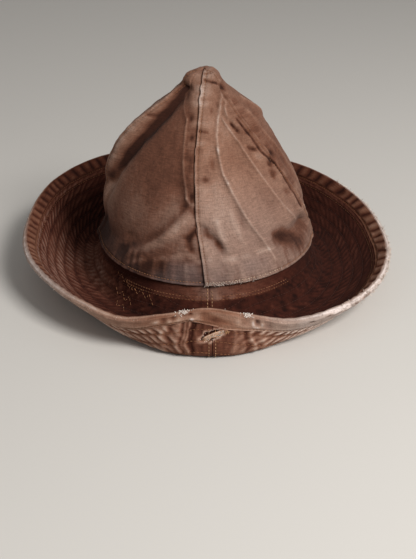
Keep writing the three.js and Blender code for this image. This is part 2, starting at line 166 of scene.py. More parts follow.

# Small dents: gore, share, stand, reach across, reach along, and how much darker each is painted, as painted
# shade in the dent.
DENTS = (
    (0.98, 0.85, -1.0, 3.0, 3.6, 0.5),
    (0.9, 0.3, -1.2, 4, 4, 0.12),
    (3.85, 0.69, -0.7, 2.6, 3.6, 0.22),
    (3.92, 0.6, -0.7, 2.6, 3.2, 0.22),
    (3.97, 0.35, -0.8, 2.4, 3, 0.26),
    (3.95, 0.48, -0.5, 2.6, 5, 0.12),
    (0.33, 0.73, -0.5, 2.6, 2.6, 0.2),
    (0.21, 0.48, -0.5, 3.6, 5, 0.22),
    (0.11, 0.45, -0.4, 7, 8, 0.14),
    (0.11, 0.42, -0.4, 5, 2, 0.16),
    (0.34, 0.24, -0.8, 3, 8, 0.12),
    (3.07, 0.66, -0.5, 3.4, 1.4, 0.2),
    (2.97, 0.68, -0.5, 2.4, 1.6, 0.2),
    (2.96, 0.55, -0.5, 2.4, 1.6, 0.2),
)

# Patches of the crown's fade: gore, share, reach across, reach along, and how much paler or darker. Some are
# wear of the dye; those marked below are painted light and painted shade.
CROWN_PATCHES = (
    (0.2, 0.3, 18, 24, 0.2),
    (0.82, 0.49, 4, 4, 0.16),
    (0.75, 0.45, 12, 34, -0.04),
    (1.05, 0.5, 16, 50, -0.18),
    # painted light on the cloth beside the left fold's valley, against its shade
    (3.1, 0.3, 11, 22, 0.34),
    (3.03, 0.6, 9, 44, 0.34),
    (3.72, 0.4, 24, 34, -0.03),
    # painted shade on the crown's foot at the left, where it curves under the bulge above
    (3.6, 0.05, 28, 9, -0.2),
    (3.1, 0.06, 30, 12, -0.36),
    (2.9, 0.04, 30, 10, -0.3),
    # painted shade on the crown's foot at the right, where the cloth turns in
    (0.58, 0.13, 13, 7, -0.42),
    (0.68, 0.08, 12, 9, -0.32),
    (0.85, 0.11, 12, 8, -0.24),
    (3.9, 0.88, 13, 18, 0.3),
    (3.93, 0.71, 6, 26, 0.23),
    (3.2, 0.3, 10, 26, 0.22),
    (3.5, 0.24, 24, 14, 0.09),
    (0.62, 0.62, 14, 20, 0.05),
    (0.35, 0.62, 16, 22, 0.06),
    (0.15, 0.75, 10, 26, 0.05),
    (3.8, 0.24, 16, 14, 0.12),
    (3.92, 0.5, 9, 24, -0.06),
    (0.3, 0.13, 20, 14, -0.08),
    (3.85, 0.26, 10, 16, 0.1),
)
# Painted shade along the bottoms of fold valleys on the crown: path, reach, and how much darker.
PAINTED_VALLEY_SHADE = (
    (((3.26, 0.83), (3.22, 0.7), (3.22, 0.56), (3.15, 0.42), (3.07, 0.32)), 5.0, 0.68),
    (((0.5, 0.55), (0.62, 0.4), (0.66, 0.2)), 6, 0.06),
)

# Pale worn line above the crown's foot at the front.
WORN_LINE = ((3.56, 0.04), (3.7, 0.08), (3.92, 0.12), (4.13, 0.1), (4.36, 0.11), (4.46, 0.11))

BRIM_COLUMNS = ("trough", "low", "reach", "rim", "lean")
BRIM_STATIONS = np.array([
    (0, 135, 0, 140, 38, 86),
    (12, 134, 0, 142, 33, 82),
    (24, 126, 0, 147, 26.5, 66),
    (38, 118, 1, 149.5, 25, 54),
    (58, 110, 2, 149.5, 24.5, 42),
    (77, 105, 3, 148.5, 26, 42),
    (95, 104, 3, 148.5, 26, 42),
    (120, 109, 2, 151.5, 33.5, 46),
    (145, 117, 0, 151.5, 42.5, 56),
    (180, 124, 0, 149, 47.5, 64),
    (215, 118, 0, 151, 53, 58),
    (240, 110, 2, 151.5, 47.5, 50),
    (265, 104, 3, 146.5, 36.5, 46),
    (285, 103, 3, 145, 34.5, 45),
    (305, 102, 2, 144.5, 33.5, 46),
    (322, 106, 2, 146.5, 32, 52),
    (336, 118, 0, 147, 28.5, 64),
    (348, 131, 0, 143, 33.5, 82),
])

# Folds that run up the turned-up front: azimuth, stand and reach in degrees.
FRONT_FOLDS = (
    (-12.4, 0.8, 0.9),
    (-10.3, -0.9, 0.8),
    (-7.8, 0.9, 0.9),
    (-6.7, -0.6, 0.4),
    (-6.0, 0.6, 0.4),
    (-4.9, 0.9, 0.4),
    (-3.6, -1.7, 0.8),
    (8.1, 0.6, 0.8),
    (11.9, -1.5, 0.9),
    (13.6, 0.9, 0.6),
    (14.9, -0.6, 0.8),
    (17.0, 0.7, 0.9),
)

# Width of the hem underneath near the front: azimuth and width.
HEM_BELOW = (
    (-45, 11), (-22, 8.8), (-10, 7), (-4.5, 6.4), (0, 10.3), (6, 13), (12, 11.6), (20, 9.8), (40, 11),
)

# Dimples in the hem's outer face at the front: azimuth, row, stand, reach in degrees and in rows. Raised
# ones are also painted paler and sunk ones darker, as painted highlight and shade.
HEM_DIMPLES = (
    (-14.0, 30, 0.6, 1.2, 4),
    (-11.9, 29, -0.6, 1.0, 6),
    (-10.2, 32, 0.6, 0.8, 4),
    (-9.2, 27, -0.7, 0.9, 4),
    (-7.6, 31, 0.5, 1.0, 5),
    (-4.3, 25, -1.0, 0.5, 2.5),
    (-3.9, 35, 0.8, 0.7, 3),
    (-2.4, 30, 0.5, 1.2, 5),
    (2.5, 33, -0.6, 4.0, 4),
    (9.5, 30, 0.5, 1.0, 5),
    (14.9, 28, -1.0, 0.6, 3.5),
    (13.7, 30, 0.7, 0.6, 5),
    (16.3, 30, 0.7, 0.6, 5),
    (14.9, 35, 0.6, 1.0, 2.5),
    (18.5, 32, -0.6, 0.9, 4),
    (22.5, 30, -0.5, 1.2, 4),
)

# Worn-through nicks beside the rim at the right: azimuth, row and reach in degrees.
HEM_NICKS = (
    (31, 27, 0.9), (36.5, 24, 1.0), (40.5, 26, 1.4), (47.5, 23, 1.2), (53, 22, 1.8), (61, 24, 0.7),
    (66, 22, 0.8), (75, 21, 0.6), (84, 21, 0.7),
)

# The tear in the brim's underside: azimuth, distance from the rim, half length and half width, and
# how many degrees its right end is turned up.
TEAR = (1.9, 18.4, 8.8, 3.3, 28)

# Dyes as the eye sees them, at even steps of fade.
CROWN_DYES = ((51, 26, 17), (98, 62, 47), (131, 96, 79), (156, 127, 112), (186, 166, 156))
UPPER_DYES = ((30, 10, 6), (61, 27, 18), (93, 55, 42), (122, 92, 80), (150, 124, 112))
UNDER_DYES = ((54, 24, 15), (94, 56, 42), (136, 99, 82), (174, 144, 128), (210, 190, 179))
HEM_DYES = ((42, 16, 9), (78, 41, 28), (120, 81, 63), (160, 127, 109), (208, 194, 189))
GREY_DYE = (110, 97, 95)
BLEACHED_DYE = (152, 138, 131)
CREAM_THREAD = (190, 165, 142)
GOLD_THREAD = (134, 88, 56)
BROWN_THREAD = (66, 34, 24)
TAN_THREAD = (150, 102, 70)
PALE_THREAD = (186, 142, 104)
FRAY = (208, 192, 180)
TUFT = (236, 224, 216)
TEAR_FRAY = (196, 150, 116)

# ---------------------------------------------------------------- numbers


def smooth(x, low, high):
    """0 below low and 1 above high, with a smooth step between."""
    t = np.clip((x - low) / (high - low), 0, 1)
    return t * t * (3 - 2 * t)


def hump(x, reach):
    return np.exp(-((x / reach) ** 2))


def noise(x, y, seed):
    """Smooth noise from -1 to 1 whose cells are one unit wide. It repeats every NOISE_CELLS cells."""
    table = np.random.default_rng(seed).uniform(-1, 1, (NOISE_CELLS, NOISE_CELLS))
    x, y = np.broadcast_arrays(x, y)
    column = np.floor(x).astype(int)
    row = np.floor(y).astype(int)
    across = smooth(x - column, 0, 1)
    along = smooth(y - row, 0, 1)
    left, right = column % NOISE_CELLS, (column + 1) % NOISE_CELLS
    low, high = row % NOISE_CELLS, (row + 1) % NOISE_CELLS
    bottom = table[low, left] * (1 - across) + table[low, right] * across
    top = table[high, left] * (1 - across) + table[high, right] * across
    return bottom * (1 - along) + top * along


def hermite(y1, y2, slope1, slope2, t):
    rise = y2 - y1
    return y1 + t * (slope1 + t * (3 * rise - 2 * slope1 - slope2 + t * (slope1 + slope2 - 2 * rise)))


def unit(vectors):
    return vectors / np.maximum(np.linalg.norm(vectors, axis=-1, keepdims=True), 1e-9)


def normals_of(points):
    """Unit normals of a grid of points, on the side from which its columns go right and its rows up."""
    across = np.gradient(points, axis=1)
    along = np.gradient(points, axis=0)
    return unit(np.cross(across, along))


def blurred(values, passes):
    for _ in range(passes):
        padded = np.pad(values, 1, mode="edge")
        middle = padded[1:-1, 1:-1]
        sides = padded[:-2, 1:-1] + padded[2:, 1:-1] + padded[1:-1, :-2] + padded[1:-1, 2:]
        values = (2 * middle + sides) / 6
    return values


def on_polar(azimuth, radius, height):
    angle = np.radians(azimuth)
    return np.stack(np.broadcast_arrays(radius * np.sin(angle), -radius * np.cos(angle), height), -1)


def from_front(azimuth):
    """An azimuth as a turn from the front, -180 to 180."""
    return np.mod(azimuth + 180, 360) - 180


def gores_from_front(gore):
    """A place round the crown, in gores from the front, -2 to 2."""
    return np.mod(gore + 2, 4) - 2


def worn_right(turn, begin, full):
    """1 where the brim's right side is worn, from turn full to 110, and 0 before begin and past 170."""
    return smooth(turn, begin, full) * (1 - smooth(turn, 110, 170))


# ---------------------------------------------------------------- crown


def crown_column(name, share):
    """A column of the crown's table. Its rows are evenly spaced from the crown seam to the tip."""
    values = CROWN_SECTIONS[:, CROWN_COLUMNS.index(name)]
    last = len(values) - 1
    place = np.clip(share, 0, 1) * last
    row = np.minimum(np.floor(place), last - 1).astype(int)
    at = lambda k: values[np.clip(k, 0, last)]
    slope = lambda k: (at(k + 1) - at(k - 1)) / 2
    return hermite(at(row), at(row + 1), slope(row), slope(row + 1), place - row)


def crown_radius(azimuth, share):
    across = np.sin(np.radians(azimuth))
    along = np.cos(np.radians(azimuth))
    sideways = np.where(across > 0, crown_column("right", share), crown_column("left", share))
    lengthways = np.where(along > 0, crown_column("front", share), crown_column("back", share))
    return 1 / np.hypot(across / sideways, along / lengthways)


def mean_radius(share):
    return sum(crown_column(side, share) for side in ("front", "right", "back", "left")) / 4


def seam_azimuth(seam, share):
    """seam is a whole number, or an array of them, from 0 to 4."""
    table = np.stack([crown_column("seam%d" % k, share) for k in range(4)])
    pick = np.choose(np.mod(seam, 4).astype(int), table)
    return pick + 360 * (np.asarray(seam) >= 4)


def gore_width(seam, share):
    turn = seam_azimuth(seam + 1, share) - seam_azimuth(seam, share)
    return np.radians(turn) * mean_radius(share)


def distance_to_path(gore, share, path):
    """Distance on the cloth from places to a path."""
    width = math.pi / 2 * mean_radius(share)
    nearest = np.full(np.broadcast(gore, share).shape, 1e9)
    for (gore1, share1), (gore2, share2) in zip(path, path[1:]):
        x, y = (gore - gore1) * width, (share - share1) * GORE_LENGTH
        dx, dy = (gore2 - gore1) * width, (share2 - share1) * GORE_LENGTH
        t = np.clip((x * dx + y * dy) / (dx * dx + dy * dy), 0, 1)
        nearest = np.minimum(nearest, np.hypot(x - t * dx, y - t * dy))
    return nearest


def spot_on_crown(gore, share, spot_gore, spot_share, across, along):
    """1 at a spot, falling off to 0 with the given reaches, in millimetres."""
    away = gores_from_front(gore - spot_gore)
    side = hump(away * math.pi / 2 * mean_radius(share), across)
    return side * hump((share - spot_share) * GORE_LENGTH, along)


def crown_base(gore, share):
    """The crown's form with its broad folds."""
    turn = np.mod(gore, 4)
    seam = np.floor(turn)
    across = turn - seam
    first = seam_azimuth(seam, share)
    azimuth = first + across * (seam_azimuth(seam + 1, share) - first)
    radius = crown_radius(azimuth, share)
    fullness = np.sin(math.pi * np.clip((share - FLAT_SHARE) / (1 - FLAT_SHARE), 0, 1))
    drawn_in = np.array([row[1] for row in GORES])[seam.astype(int)]
    hollow = drawn_in * np.sin(math.pi * across) ** 2 * fullness
    from_seam = np.minimum(across, 1 - across) * gore_width(seam, share)
    stand = SEAM_RIDGE[0] * fullness * hump(from_seam, SEAM_RIDGE[1]) - hollow * radius
    folds = sum(s * hump(distance_to_path(turn, share, path), reach) for path, s, reach in FOLDS)
    fade = smooth(share, *FOLDS_BEGIN) * (1 - smooth(share, *FOLDS_END))
    radius = (radius + stand + folds * fade) * (1 - 0.95 * smooth(share, 0.974, TOP_SHARE))
    return on_polar(azimuth, radius, SEAM_HEIGHT + crown_column("rise", share))


def seam_distance(gore, share):
    """Signed distance across the cloth from the nearest seam, and that seam's number."""
    nearest = np.round(gore)
    after = gore_width(np.mod(nearest, 4), share)
    before = gore_width(np.mod(nearest - 1, 4), share)
    return (gore - nearest) * np.where(gore >= nearest, after, before), np.mod(nearest, 4)


def seam_puckers(u, seam, v):
    """The cloth beside the crown's seams, gathered by the sewing, from -1 to 1."""
    side = np.abs(u)
    wide = noise(v / 5.5 + 9 * seam + 3 * (u > 0), side / 16, 3)
    fine = noise(v / 2.8, side / 9 + 5 * seam, 4)
    return (wide + 0.5 * fine) * hump(side, 14)


def crown_detail(gore, share):
    """Small relief of the crown's cloth, in millimetres, and its fade."""
    turn = np.mod(gore, 4)
    u, seam = seam_distance(turn, share)
    v = share * GORE_LENGTH
    x = gores_from_front(turn) * math.pi / 2 * mean_radius(share)
    side = np.abs(u)
    fade = np.array([row[4] for row in GORES])[np.floor(turn).astype(int)]

    puckers = seam_puckers(u, seam, v)
    depth = np.where(seam == 3, 0.3, 0.5)
    shown = np.where(seam == 0, 0, np.where(seam == 1, 0.4, 1))
    relief = 0.6 * shown * (1 - smooth(side, ALLOWANCE - 1, ALLOWANCE + 1.5)) + depth * puckers
    fade = fade + 0.07 * shown * hump(side - ALLOWANCE, 1.6) + 0.08 * puckers

    band = 1 - smooth(v, 13, 17)
    front = hump(from_front(turn * 90), 45)
    tucks = noise(turn * 44, v / 22, 5) * (0.25 + 0.75 * front)
    worn = 0.5 + 0.6 * noise(x / 6, v / 9, 6)
    relief = relief + band * (0.35 + 0.4 * tucks) - 0.5 * hump(v - FOOT_STITCH, 0.9)
    line = distance_to_path(np.where(turn < 2, turn + 4, turn), share, WORN_LINE)
    fade = fade + 0.34 * hump(line, 2.1) * worn + band * (0.14 * tucks - 0.06)

    spotty = 0.8 + 0.4 * noise(x / 4, v / 4, 13)
    for path, stand, reach, paler, width in CREASES:
        away = distance_to_path(turn, share, path)
        relief = relief + stand * hump(away, reach)
        fade = fade + paler * spotty * hump(away, width)
    # painted shade in the tucks
    for path, stand, reach, darker in TUCKS:
        away = distance_to_path(turn, share, path)
        relief = relief + stand * hump(away, reach)
        fade = fade - darker * spotty * hump(away, reach)
    # painted shade in the fold valleys
    for path, reach, darker in PAINTED_VALLEY_SHADE:
        fade = fade - darker * hump(distance_to_path(turn, share, path), reach)
    # painted shade in the dents
    for spot_gore, spot_share, stand, across, along, darker in DENTS:
        spot = spot_on_crown(turn, share, spot_gore, spot_share, across, along)
        relief = relief + stand * spot
        fade = fade - darker * spot
    for patch_gore, patch_share, across, along, paler in CROWN_PATCHES:
        fade = fade + paler * spot_on_crown(turn, share, patch_gore, patch_share, across, along)

    crumple = 0.5 * noise(x / 23, v / 27, 7) + 0.22 * noise(x / 7, v / 9, 8) + 0.1 * noise(x / 3, v / 3, 9)
    grain = 0.05 * noise(x / 14, v / 17, 10) + 0.03 * noise(x / 2.6, v / 1.1, 11)
    grain = grain + 0.03 * noise(x / 1.1, v / 3.1, 14)
    return relief + crumple, fade + grain


def lap_share(seam, share):
    return np.minimum(LAP_LIMIT, LAP / gore_width(np.mod(seam, 4), share))


def gore_places(seam, columns, rows):
    """Gore and share over a grid, from one edge of a gore's cloth to the other."""
    _, _, over_first, over_last, _ = GORES[seam]
    share = np.linspace(0, TOP_SHARE, rows + 1)[:, None]
    here = np.full_like(share, seam)
    start = here if over_first else here - lap_share(here - 1, share)
    end = here + 1 if over_last else here + 1 + lap_share(here + 1, share)
    gore = start + (end - start) * np.linspace(0, 1, columns + 1)
    return gore, share + 0 * gore


def gore_edges(seam, gore, share):
    """Relief and fade that come from how a gore's two edges are lapped and sewn, with painted shadow on the
    gore beneath, along the edge that laps over it.
    """
    _, _, over_first, over_last, _ = GORES[seam]
    width = gore_width(np.full_like(share, seam), share)
    relief = np.zeros_like(gore)
    fade = np.zeros_like(gore)
    below_tip = 1 - smooth(share, 0.93, 0.99)
    for edge, over in ((seam, over_first), (seam + 1, over_last)):
        away = np.abs(gore - edge) * width
        if over:
            lift = EDGE_LIFT * (1 - smooth(away, 5, 15)) * below_tip
            relief += lift - 0.5 * hump(away - SEAM_STITCH, 0.8)
            pale = 0.08 + 0.16 * hump(share, 0.16) if edge % 4 == 0 else 0.03
            fade += pale * hump(away - 0.5, 0.7) * (share < 0.86)
        else:
            outside = gore < edge if edge == seam else gore > edge
            relief -= 0.3 * outside
            # painted shadow of the lapping edge on the gore beneath
            fade -= 0.36 * hump(away, 1.0)
    return relief, fade


def build_gore(seam, columns=168, rows=196):
    name = GORES[seam][0]
    gore, share = gore_places(seam, columns, rows)
    base = crown_base(gore, share)
    relief, fade = crown_detail(gore, share)
    edge_relief, edge_fade = gore_edges(seam, gore, share)
    relief = relief + edge_relief
    # paler where the cloth stands up and is rubbed, darker in its hollows
    worn_ridges_dark_hollows = relief - blurred(relief, 60)
    fade = np.clip(fade + edge_fade + 0.12 * worn_ridges_dark_hollows, 0, 1)
    outer = base + relief[..., None] * normals_of(base)
    v = share * GORE_LENGTH
    x = np.mod(gore, 4) * GORE_ARC
    turn = from_front(gore * 90)
    grey = (1 - smooth(v, 10, 24)) * hump(turn + 8, 45) * (0.5 + 0.6 * noise(x / 12, v / 12, 12))
    bleached = (0.16 + 0.14 * smooth(turn, -6, 6)) * (1 - smooth(v, 30, 90)) * hump(turn - 15, 70)
    bleached = bleached * smooth(fade, 0.15, 0.4)
    dye = mixed(dyed(fade, CROWN_DYES), BLEACHED_DYE, bleached)
    dye = mixed(dye, GREY_DYE, np.clip(0.5 * grey, 0, 1))
    place = np.stack([(gore - seam) * GORE_ARC, v], -1)
    piece = add_sheet(name, outer, dye, place, GORE_CLOTH, CLOTHS["crown"])
    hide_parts(name)
    return outer


# ---------------------------------------------------------------- brim


def brim_column(name, azimuth):
    """A column of the brim's table at any azimuth."""
    values = BRIM_STATIONS[:, 1 + BRIM_COLUMNS.index(name)]
    angles = BRIM_STATIONS[:, 0]
    count = len(angles)
    turn = np.mod(azimuth, 360)
    row = np.searchsorted(angles, turn, side="right") - 1
    at = lambda k: values[k % count]
    angle = lambda k: angles[k % count] + 360 * (k // count)
    slope = lambda k: (at(k + 1) - at(k - 1)) / (angle(k + 1) - angle(k - 1))
    step = angle(row + 1) - angle(row)
    t = (turn - angle(row)) / step
    return hermite(at(row), at(row + 1), slope(row) * step, slope(row + 1) * step, t)


def bezier(points, t):
    a, b, c, d = (point[..., None, :] for point in points)
    t = t[:, None]
    return a * (1 - t) ** 3 + 3 * b * t * (1 - t) ** 2 + 3 * c * t * t * (1 - t) + d * t**3


def brim_profiles(azimuth):
    """For each azimuth the profile of the upper face, as [distance from the axis, height] at 72
    points, and each point's distance along the cloth from the crown seam, negative up the collar."""
    trough, low, reach, rim, lean = (brim_column(name, azimuth) for name in BRIM_COLUMNS)
    lean = np.radians(lean)
    bottom = low - UNDERSIDE
    pair = lambda x, y: np.stack(np.broadcast_arrays(x, y), -1)
    seam = pair(crown_radius(azimuth, np.zeros_like(azimuth)) - COLLAR_INSET, SEAM_HEIGHT - GAP)
    strip = pair(trough - REST_STRIP / 2, bottom), pair(trough + REST_STRIP / 2, bottom)
    edge = pair(reach, rim)
    run = strip[0][..., 0] - seam[..., 0]
    wall = np.linalg.norm(edge - strip[1], axis=-1)
    slope = bezier((
        seam,
        pair(seam[..., 0] + 0.12 * run, seam[..., 1] * 0.55 + bottom * 0.45),
        pair(strip[0][..., 0] - 0.55 * run, bottom),
        strip[0],
    ), np.linspace(0, 1, 32))
    outside = bezier((
        strip[1],
        pair(strip[1][..., 0] + 0.3 * wall, bottom),
        pair(edge[..., 0] - 0.42 * wall * np.cos(lean), edge[..., 1] - 0.42 * wall * np.sin(lean)),
        edge,
    ), np.linspace(0, 1, 32))
    up = np.linspace(COLLAR, 1, COLLAR_ROWS)
    inside = crown_radius(azimuth[:, None], up / GORE_LENGTH) - COLLAR_INSET
    collar = pair(inside, SEAM_HEIGHT - GAP + up)
    profile = np.concatenate([collar, slope, outside], axis=1)
    steps = np.linalg.norm(np.diff(profile, axis=1), axis=2)
    length = np.concatenate([np.zeros((len(azimuth), 1)), np.cumsum(steps, axis=1)], axis=1)
    return profile, length - length[:, len(up):len(up) + 1]


def brim_grid(azimuth, shares):
    """Points of the upper face at each share and azimuth, and the brim's width at each azimuth.
    A share below 0 is a length up the collar, in millimetres."""
    profile, length = brim_profiles(azimuth)
    width = length[:, -1]
    points = np.empty((len(shares), len(azimuth), 2))
    for k in range(len(azimuth)):
        target = np.where(shares < 0, shares, shares * width[k])
        for axis in range(2):
            points[:, k, axis] = np.interp(target, length[k], profile[k, :, axis])
    return on_polar(azimuth[None, :], points[..., 0], points[..., 1]), width


COLLAR_ROWS = 8
FLAT_ROWS = 92  # steps from the crown seam to the rim


def brim_shares():
    return np.concatenate([np.linspace(-COLLAR, -1, COLLAR_ROWS), np.linspace(0, 1, FLAT_ROWS + 1)])


def quilting(azimuth, distance, from_rim, seed, period, slant, depth):
    """Relief of the rows of stitching and of the puckers between them, and the puckers alone."""
    phase = (from_rim - HEM_WIDTH - FIRST_ROW) / ROW_PITCH
    row = np.floor(phase)
    within = phase - row
    middle = distance + (within - 0.5) * ROW_PITCH
    x = np.radians(from_front(azimuth)) * (BRIM_INSIDE + 0.5 * middle)
    drift = 0.6 * noise(x / 24, row * 5.7, seed) + 0.2 * noise(x / 6, row * 3.1, seed + 1)
    start = 3.7 * np.sin(12.9 * row + seed)  # where each row's puckers begin
    angle = 2 * math.pi * (x / period + drift + slant * within + start)
    strength = np.clip(0.85 + 0.5 * noise(x / 21, row * 2.3, seed + 2), 0.2, 1.2)
    ridges = np.sin(angle + 0.5 * np.sin(angle)) * strength * np.sin(math.pi * within) ** 0.6
    inside = smooth(distance, 3, 9) * smooth(from_rim, HEM_WIDTH - 4, HEM_WIDTH + 1)
    groove = hump(np.minimum(within, 1 - within) * ROW_PITCH, 1.1)
    swell = np.sin(math.pi * within)
    return inside * (0.35 * swell - 0.35 * groove + depth * ridges), inside * (ridges - 0.8 * depth * groove)


def seam_across(azimuth, distance):
    """Distance from the nearer of the brim's two seams."""
    turn = np.minimum(np.abs(from_front(azimuth - BRIM_SEAM)), np.abs(from_front(azimuth - 180)))
    return np.radians(turn) * (BRIM_INSIDE + 0.5 * distance)


def tear(azimuth, from_rim):
    """Distance from the tear's middle, 1 on its edge."""
    middle, down, half_length, half_width, turned = TEAR
    x = np.radians(from_front(azimuth) - middle) * FRONT_REACH
    y = down - from_rim
    angle = math.radians(turned)
    along = x * math.cos(angle) + y * math.sin(angle)
    across = y * math.cos(angle) - x * math.sin(angle)
    return np.hypot(along / half_length, across / half_width * (1 + 0.25 * noise(along / 2, 0, 50)))


def upper_face(azimuth, distance, from_rim):
    """Relief and fade of the upper ply's upper face."""
    turn = from_front(azimuth)
    relief, ridges = quilting(azimuth, distance, from_rim, 20, 8.6, 1.8 * np.tanh(turn / 22), 0.5)
    x = np.radians(azimuth) * BRIM_MIDDLE
    seam = seam_across(azimuth, distance)
    left = hump(from_front(azimuth + 78), 52)
    flat = 1 - smooth(distance, 24, 50)
    calm = (0.5 + 0.5 * left) * (1 - 0.5 * hump(turn - 4, 12)) * (1 - 0.6 * flat)
    spots = noise(x / 6, distance / 5, 26) + 0.6 * noise(x / 2.6, distance / 2.4, 27)
    spots = spots * smooth(distance, 3, 12) * (0.4 + 0.6 * flat)
    relief = relief * calm + 0.6 * noise(x / 26, distance / 30, 24) * smooth(distance, 3, 12) + 0.3 * spots
    relief = relief + 0.4 * (1 - smooth(seam, 5, 7)) - 0.25 * hump(seam, 0.5)
    # Beside the hem the cloth is padded up and painted paler, as painted light over the shade of the groove
    # there.
    beside_hem = hump(from_rim - HEM_WIDTH - 1.8, 1.2)
    relief = relief + 0.5 * beside_hem
    strip = (1 - smooth(distance, 10.5, 13)) * hump(turn - 6, 28)
    middle = hump(turn - BRIM_SEAM, 6)
    outside = 1 - smooth(from_rim, 34, 52)
    # lower_left and bend_left are painted light: on the inner slope at the front left, which the lamp lights
    # little, and over the crown's shadow on the bend at the left.
    lower_left = hump(turn + 66, 20) * smooth(distance, 4, 16) * (1 - 0.78 * smooth(distance, 16, 44))
    bend_left = hump(turn + 98, 20) * hump(distance - 32, 24)
    fade = 0.13 + 0.39 * strip + 0.18 * middle + left * (0.09 + 0.14 * outside) + 0.38 * lower_left
    fade = fade + 0.3 * bend_left + 0.06 * outside + 0.12 * beside_hem
    fade = fade + 0.05 * noise(x / 8, distance / 8, 25)
    return relief, fade + 0.14 * calm * ridges + 0.06 * spots - 0.1 * hump(seam, 0.6)


def under_face(azimuth, distance, from_rim):
    """Relief and fade of the under ply's lower face."""
    turn = from_front(azimuth)
    relief, ridges = quilting(azimuth, distance, from_rim, 30, 6.6, 1.9 * np.tanh(turn / 14), 0.9)
    x = np.radians(azimuth) * BRIM_MIDDLE
    seam = seam_across(azimuth, distance)
    bent = turn + 0.9 * noise(from_rim / 8, turn / 7, 38) + 0.3 * noise(from_rim / 3, turn / 3, 39)
    soft = sum(stand * hump(bent - middle, reach) for middle, stand, reach in FRONT_FOLDS)
    soft = 0.8 * soft * (1 - smooth(from_rim, 28, 42)) * (0.9 + 0.4 * noise(x / 9, from_rim / 12, 36))
    right = worn_right(turn, 10, 40)
    calm = (0.75 + 0.25 * right) * (1 - 0.92 * hump(turn - 2, 15))
    relief = relief * calm + 0.5 * noise(x / 30, distance / 30, 34) + soft
    relief = relief + 0.4 * (1 - smooth(seam, 5, 7)) - 0.25 * hump(seam, 0.5)
    middle = hump(turn - 1, 11)
    # The underside's pale ground, its paler pucker crests and darker gaps are partly wear and partly painted
    # light and shade, for light thrown up on it from below.
    fade = 0.52 + 0.24 * right - 0.32 * middle + 0.08 * noise(x / 7, distance / 7, 35) + 0.16 * soft
    fade = fade + (0.34 + 0.14 * right) * ridges * calm - 0.12 * hump(seam, 0.6)
    edge = tear(azimuth, from_rim)
    relief = relief + 0.7 * hump(edge - 1.2, 0.25) - 1.6 * (1 - smooth(edge, 0.75, 1.0))
    # The tear's worn lips are paler; inside, the opening is painted dark, as painted shade.
    fade = fade + 0.3 * hump(edge - 1.12, 0.2) - 0.6 * (1 - smooth(edge, 0.8, 1.05))
    return relief, fade


PLIES = {
    "upper": (upper_face, 0.0, UPPER_DYES, 520),
    "under": (under_face, UNDERSIDE, UNDER_DYES, 480),
}


def ply_azimuths(side, start, end, steps):
    """Azimuths from start to end, closer together near the front."""
    t = np.linspace(0, 1, steps + 1)
    if side == "right":
        return start + (end - start) * t * (0.6 + 0.4 * t)
    return end - (end - start) * (1 - t) * (1 - 0.4 * t)


def build_ply(face, side, start, end):
    """Half of one of the brim's plies, as a grid that is seen from the ply's shown side."""
    detail, offset, dyes, steps = PLIES[face]
    azimuth = ply_azimuths(side, start, end, steps)
    shares = brim_shares()
    points, width = brim_grid(azimuth, shares)
    points = points - offset * normals_of(points)
    distance = np.where(shares < 0, shares, 0)[:, None] + np.maximum(shares, 0)[:, None] * width
    relief, fade = detail(azimuth + 0 * distance, distance, width - distance)
    sign = 1
    if face == "under":
        relief = relief * smooth(points[..., 2], 0.3, 6)
        sign = -1
    # paler where the cloth stands up and is rubbed, darker in its hollows
    worn_ridges_dark_hollows = relief - blurred(relief, 25)
    outer = points - sign * relief[..., None] * normals_of(points)
    dye = dyed(np.clip(fade + 0.22 * worn_ridges_dark_hollows, 0, 1), dyes)
    place = np.stack([np.radians(azimuth) * BRIM_MIDDLE + 0 * distance, distance], -1)
    turned = slice(None, None, -sign)
    name = "brim_%s_%s" % (face, side)
    piece = add_sheet(name, outer[:, turned], dye[:, turned], place[:, turned], PLY, CLOTHS[face])
    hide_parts(name)
    return {"grid": outer, "start": start, "end": end, "width": width, "sign": sign,
            "azimuth": azimuth}


def ply_place(ply, azimuth, from_rim):
    """Row and column of a ply's grid at places on the brim."""
    column = np.interp(azimuth, ply["azimuth"], np.arange(len(ply["azimuth"])))
    width = np.interp(azimuth, ply["azimuth"], ply["width"])
    return COLLAR_ROWS + (1 - from_rim / width) * FLAT_ROWS, column


HEM_STEPS = 1200
HEM_FACE = 16  # rows across each face of the hem
HEM_ROLL = 8  # and round its edge
HEM_FROM = 0.8  # share of the brim's width at which the cloth under the hem is measured first
HEM_SPAN = 0.2  # from there to the rim
HEM_SAMPLES = 40  # steps across that


def hem_widths(azimuth):
    """Width of the hem above and below. Below it is narrow left of the front and sags over the tear."""
    turn = from_front(azimuth)
    above = HEM_WIDTH + 0.5 * noise(azimuth / AZIMUTH_CELL, 0, 40)
    below = np.interp(turn, *zip(*HEM_BELOW))
    return above, below + 0.5 * noise(azimuth / AZIMUTH_CELL, 3, 41)


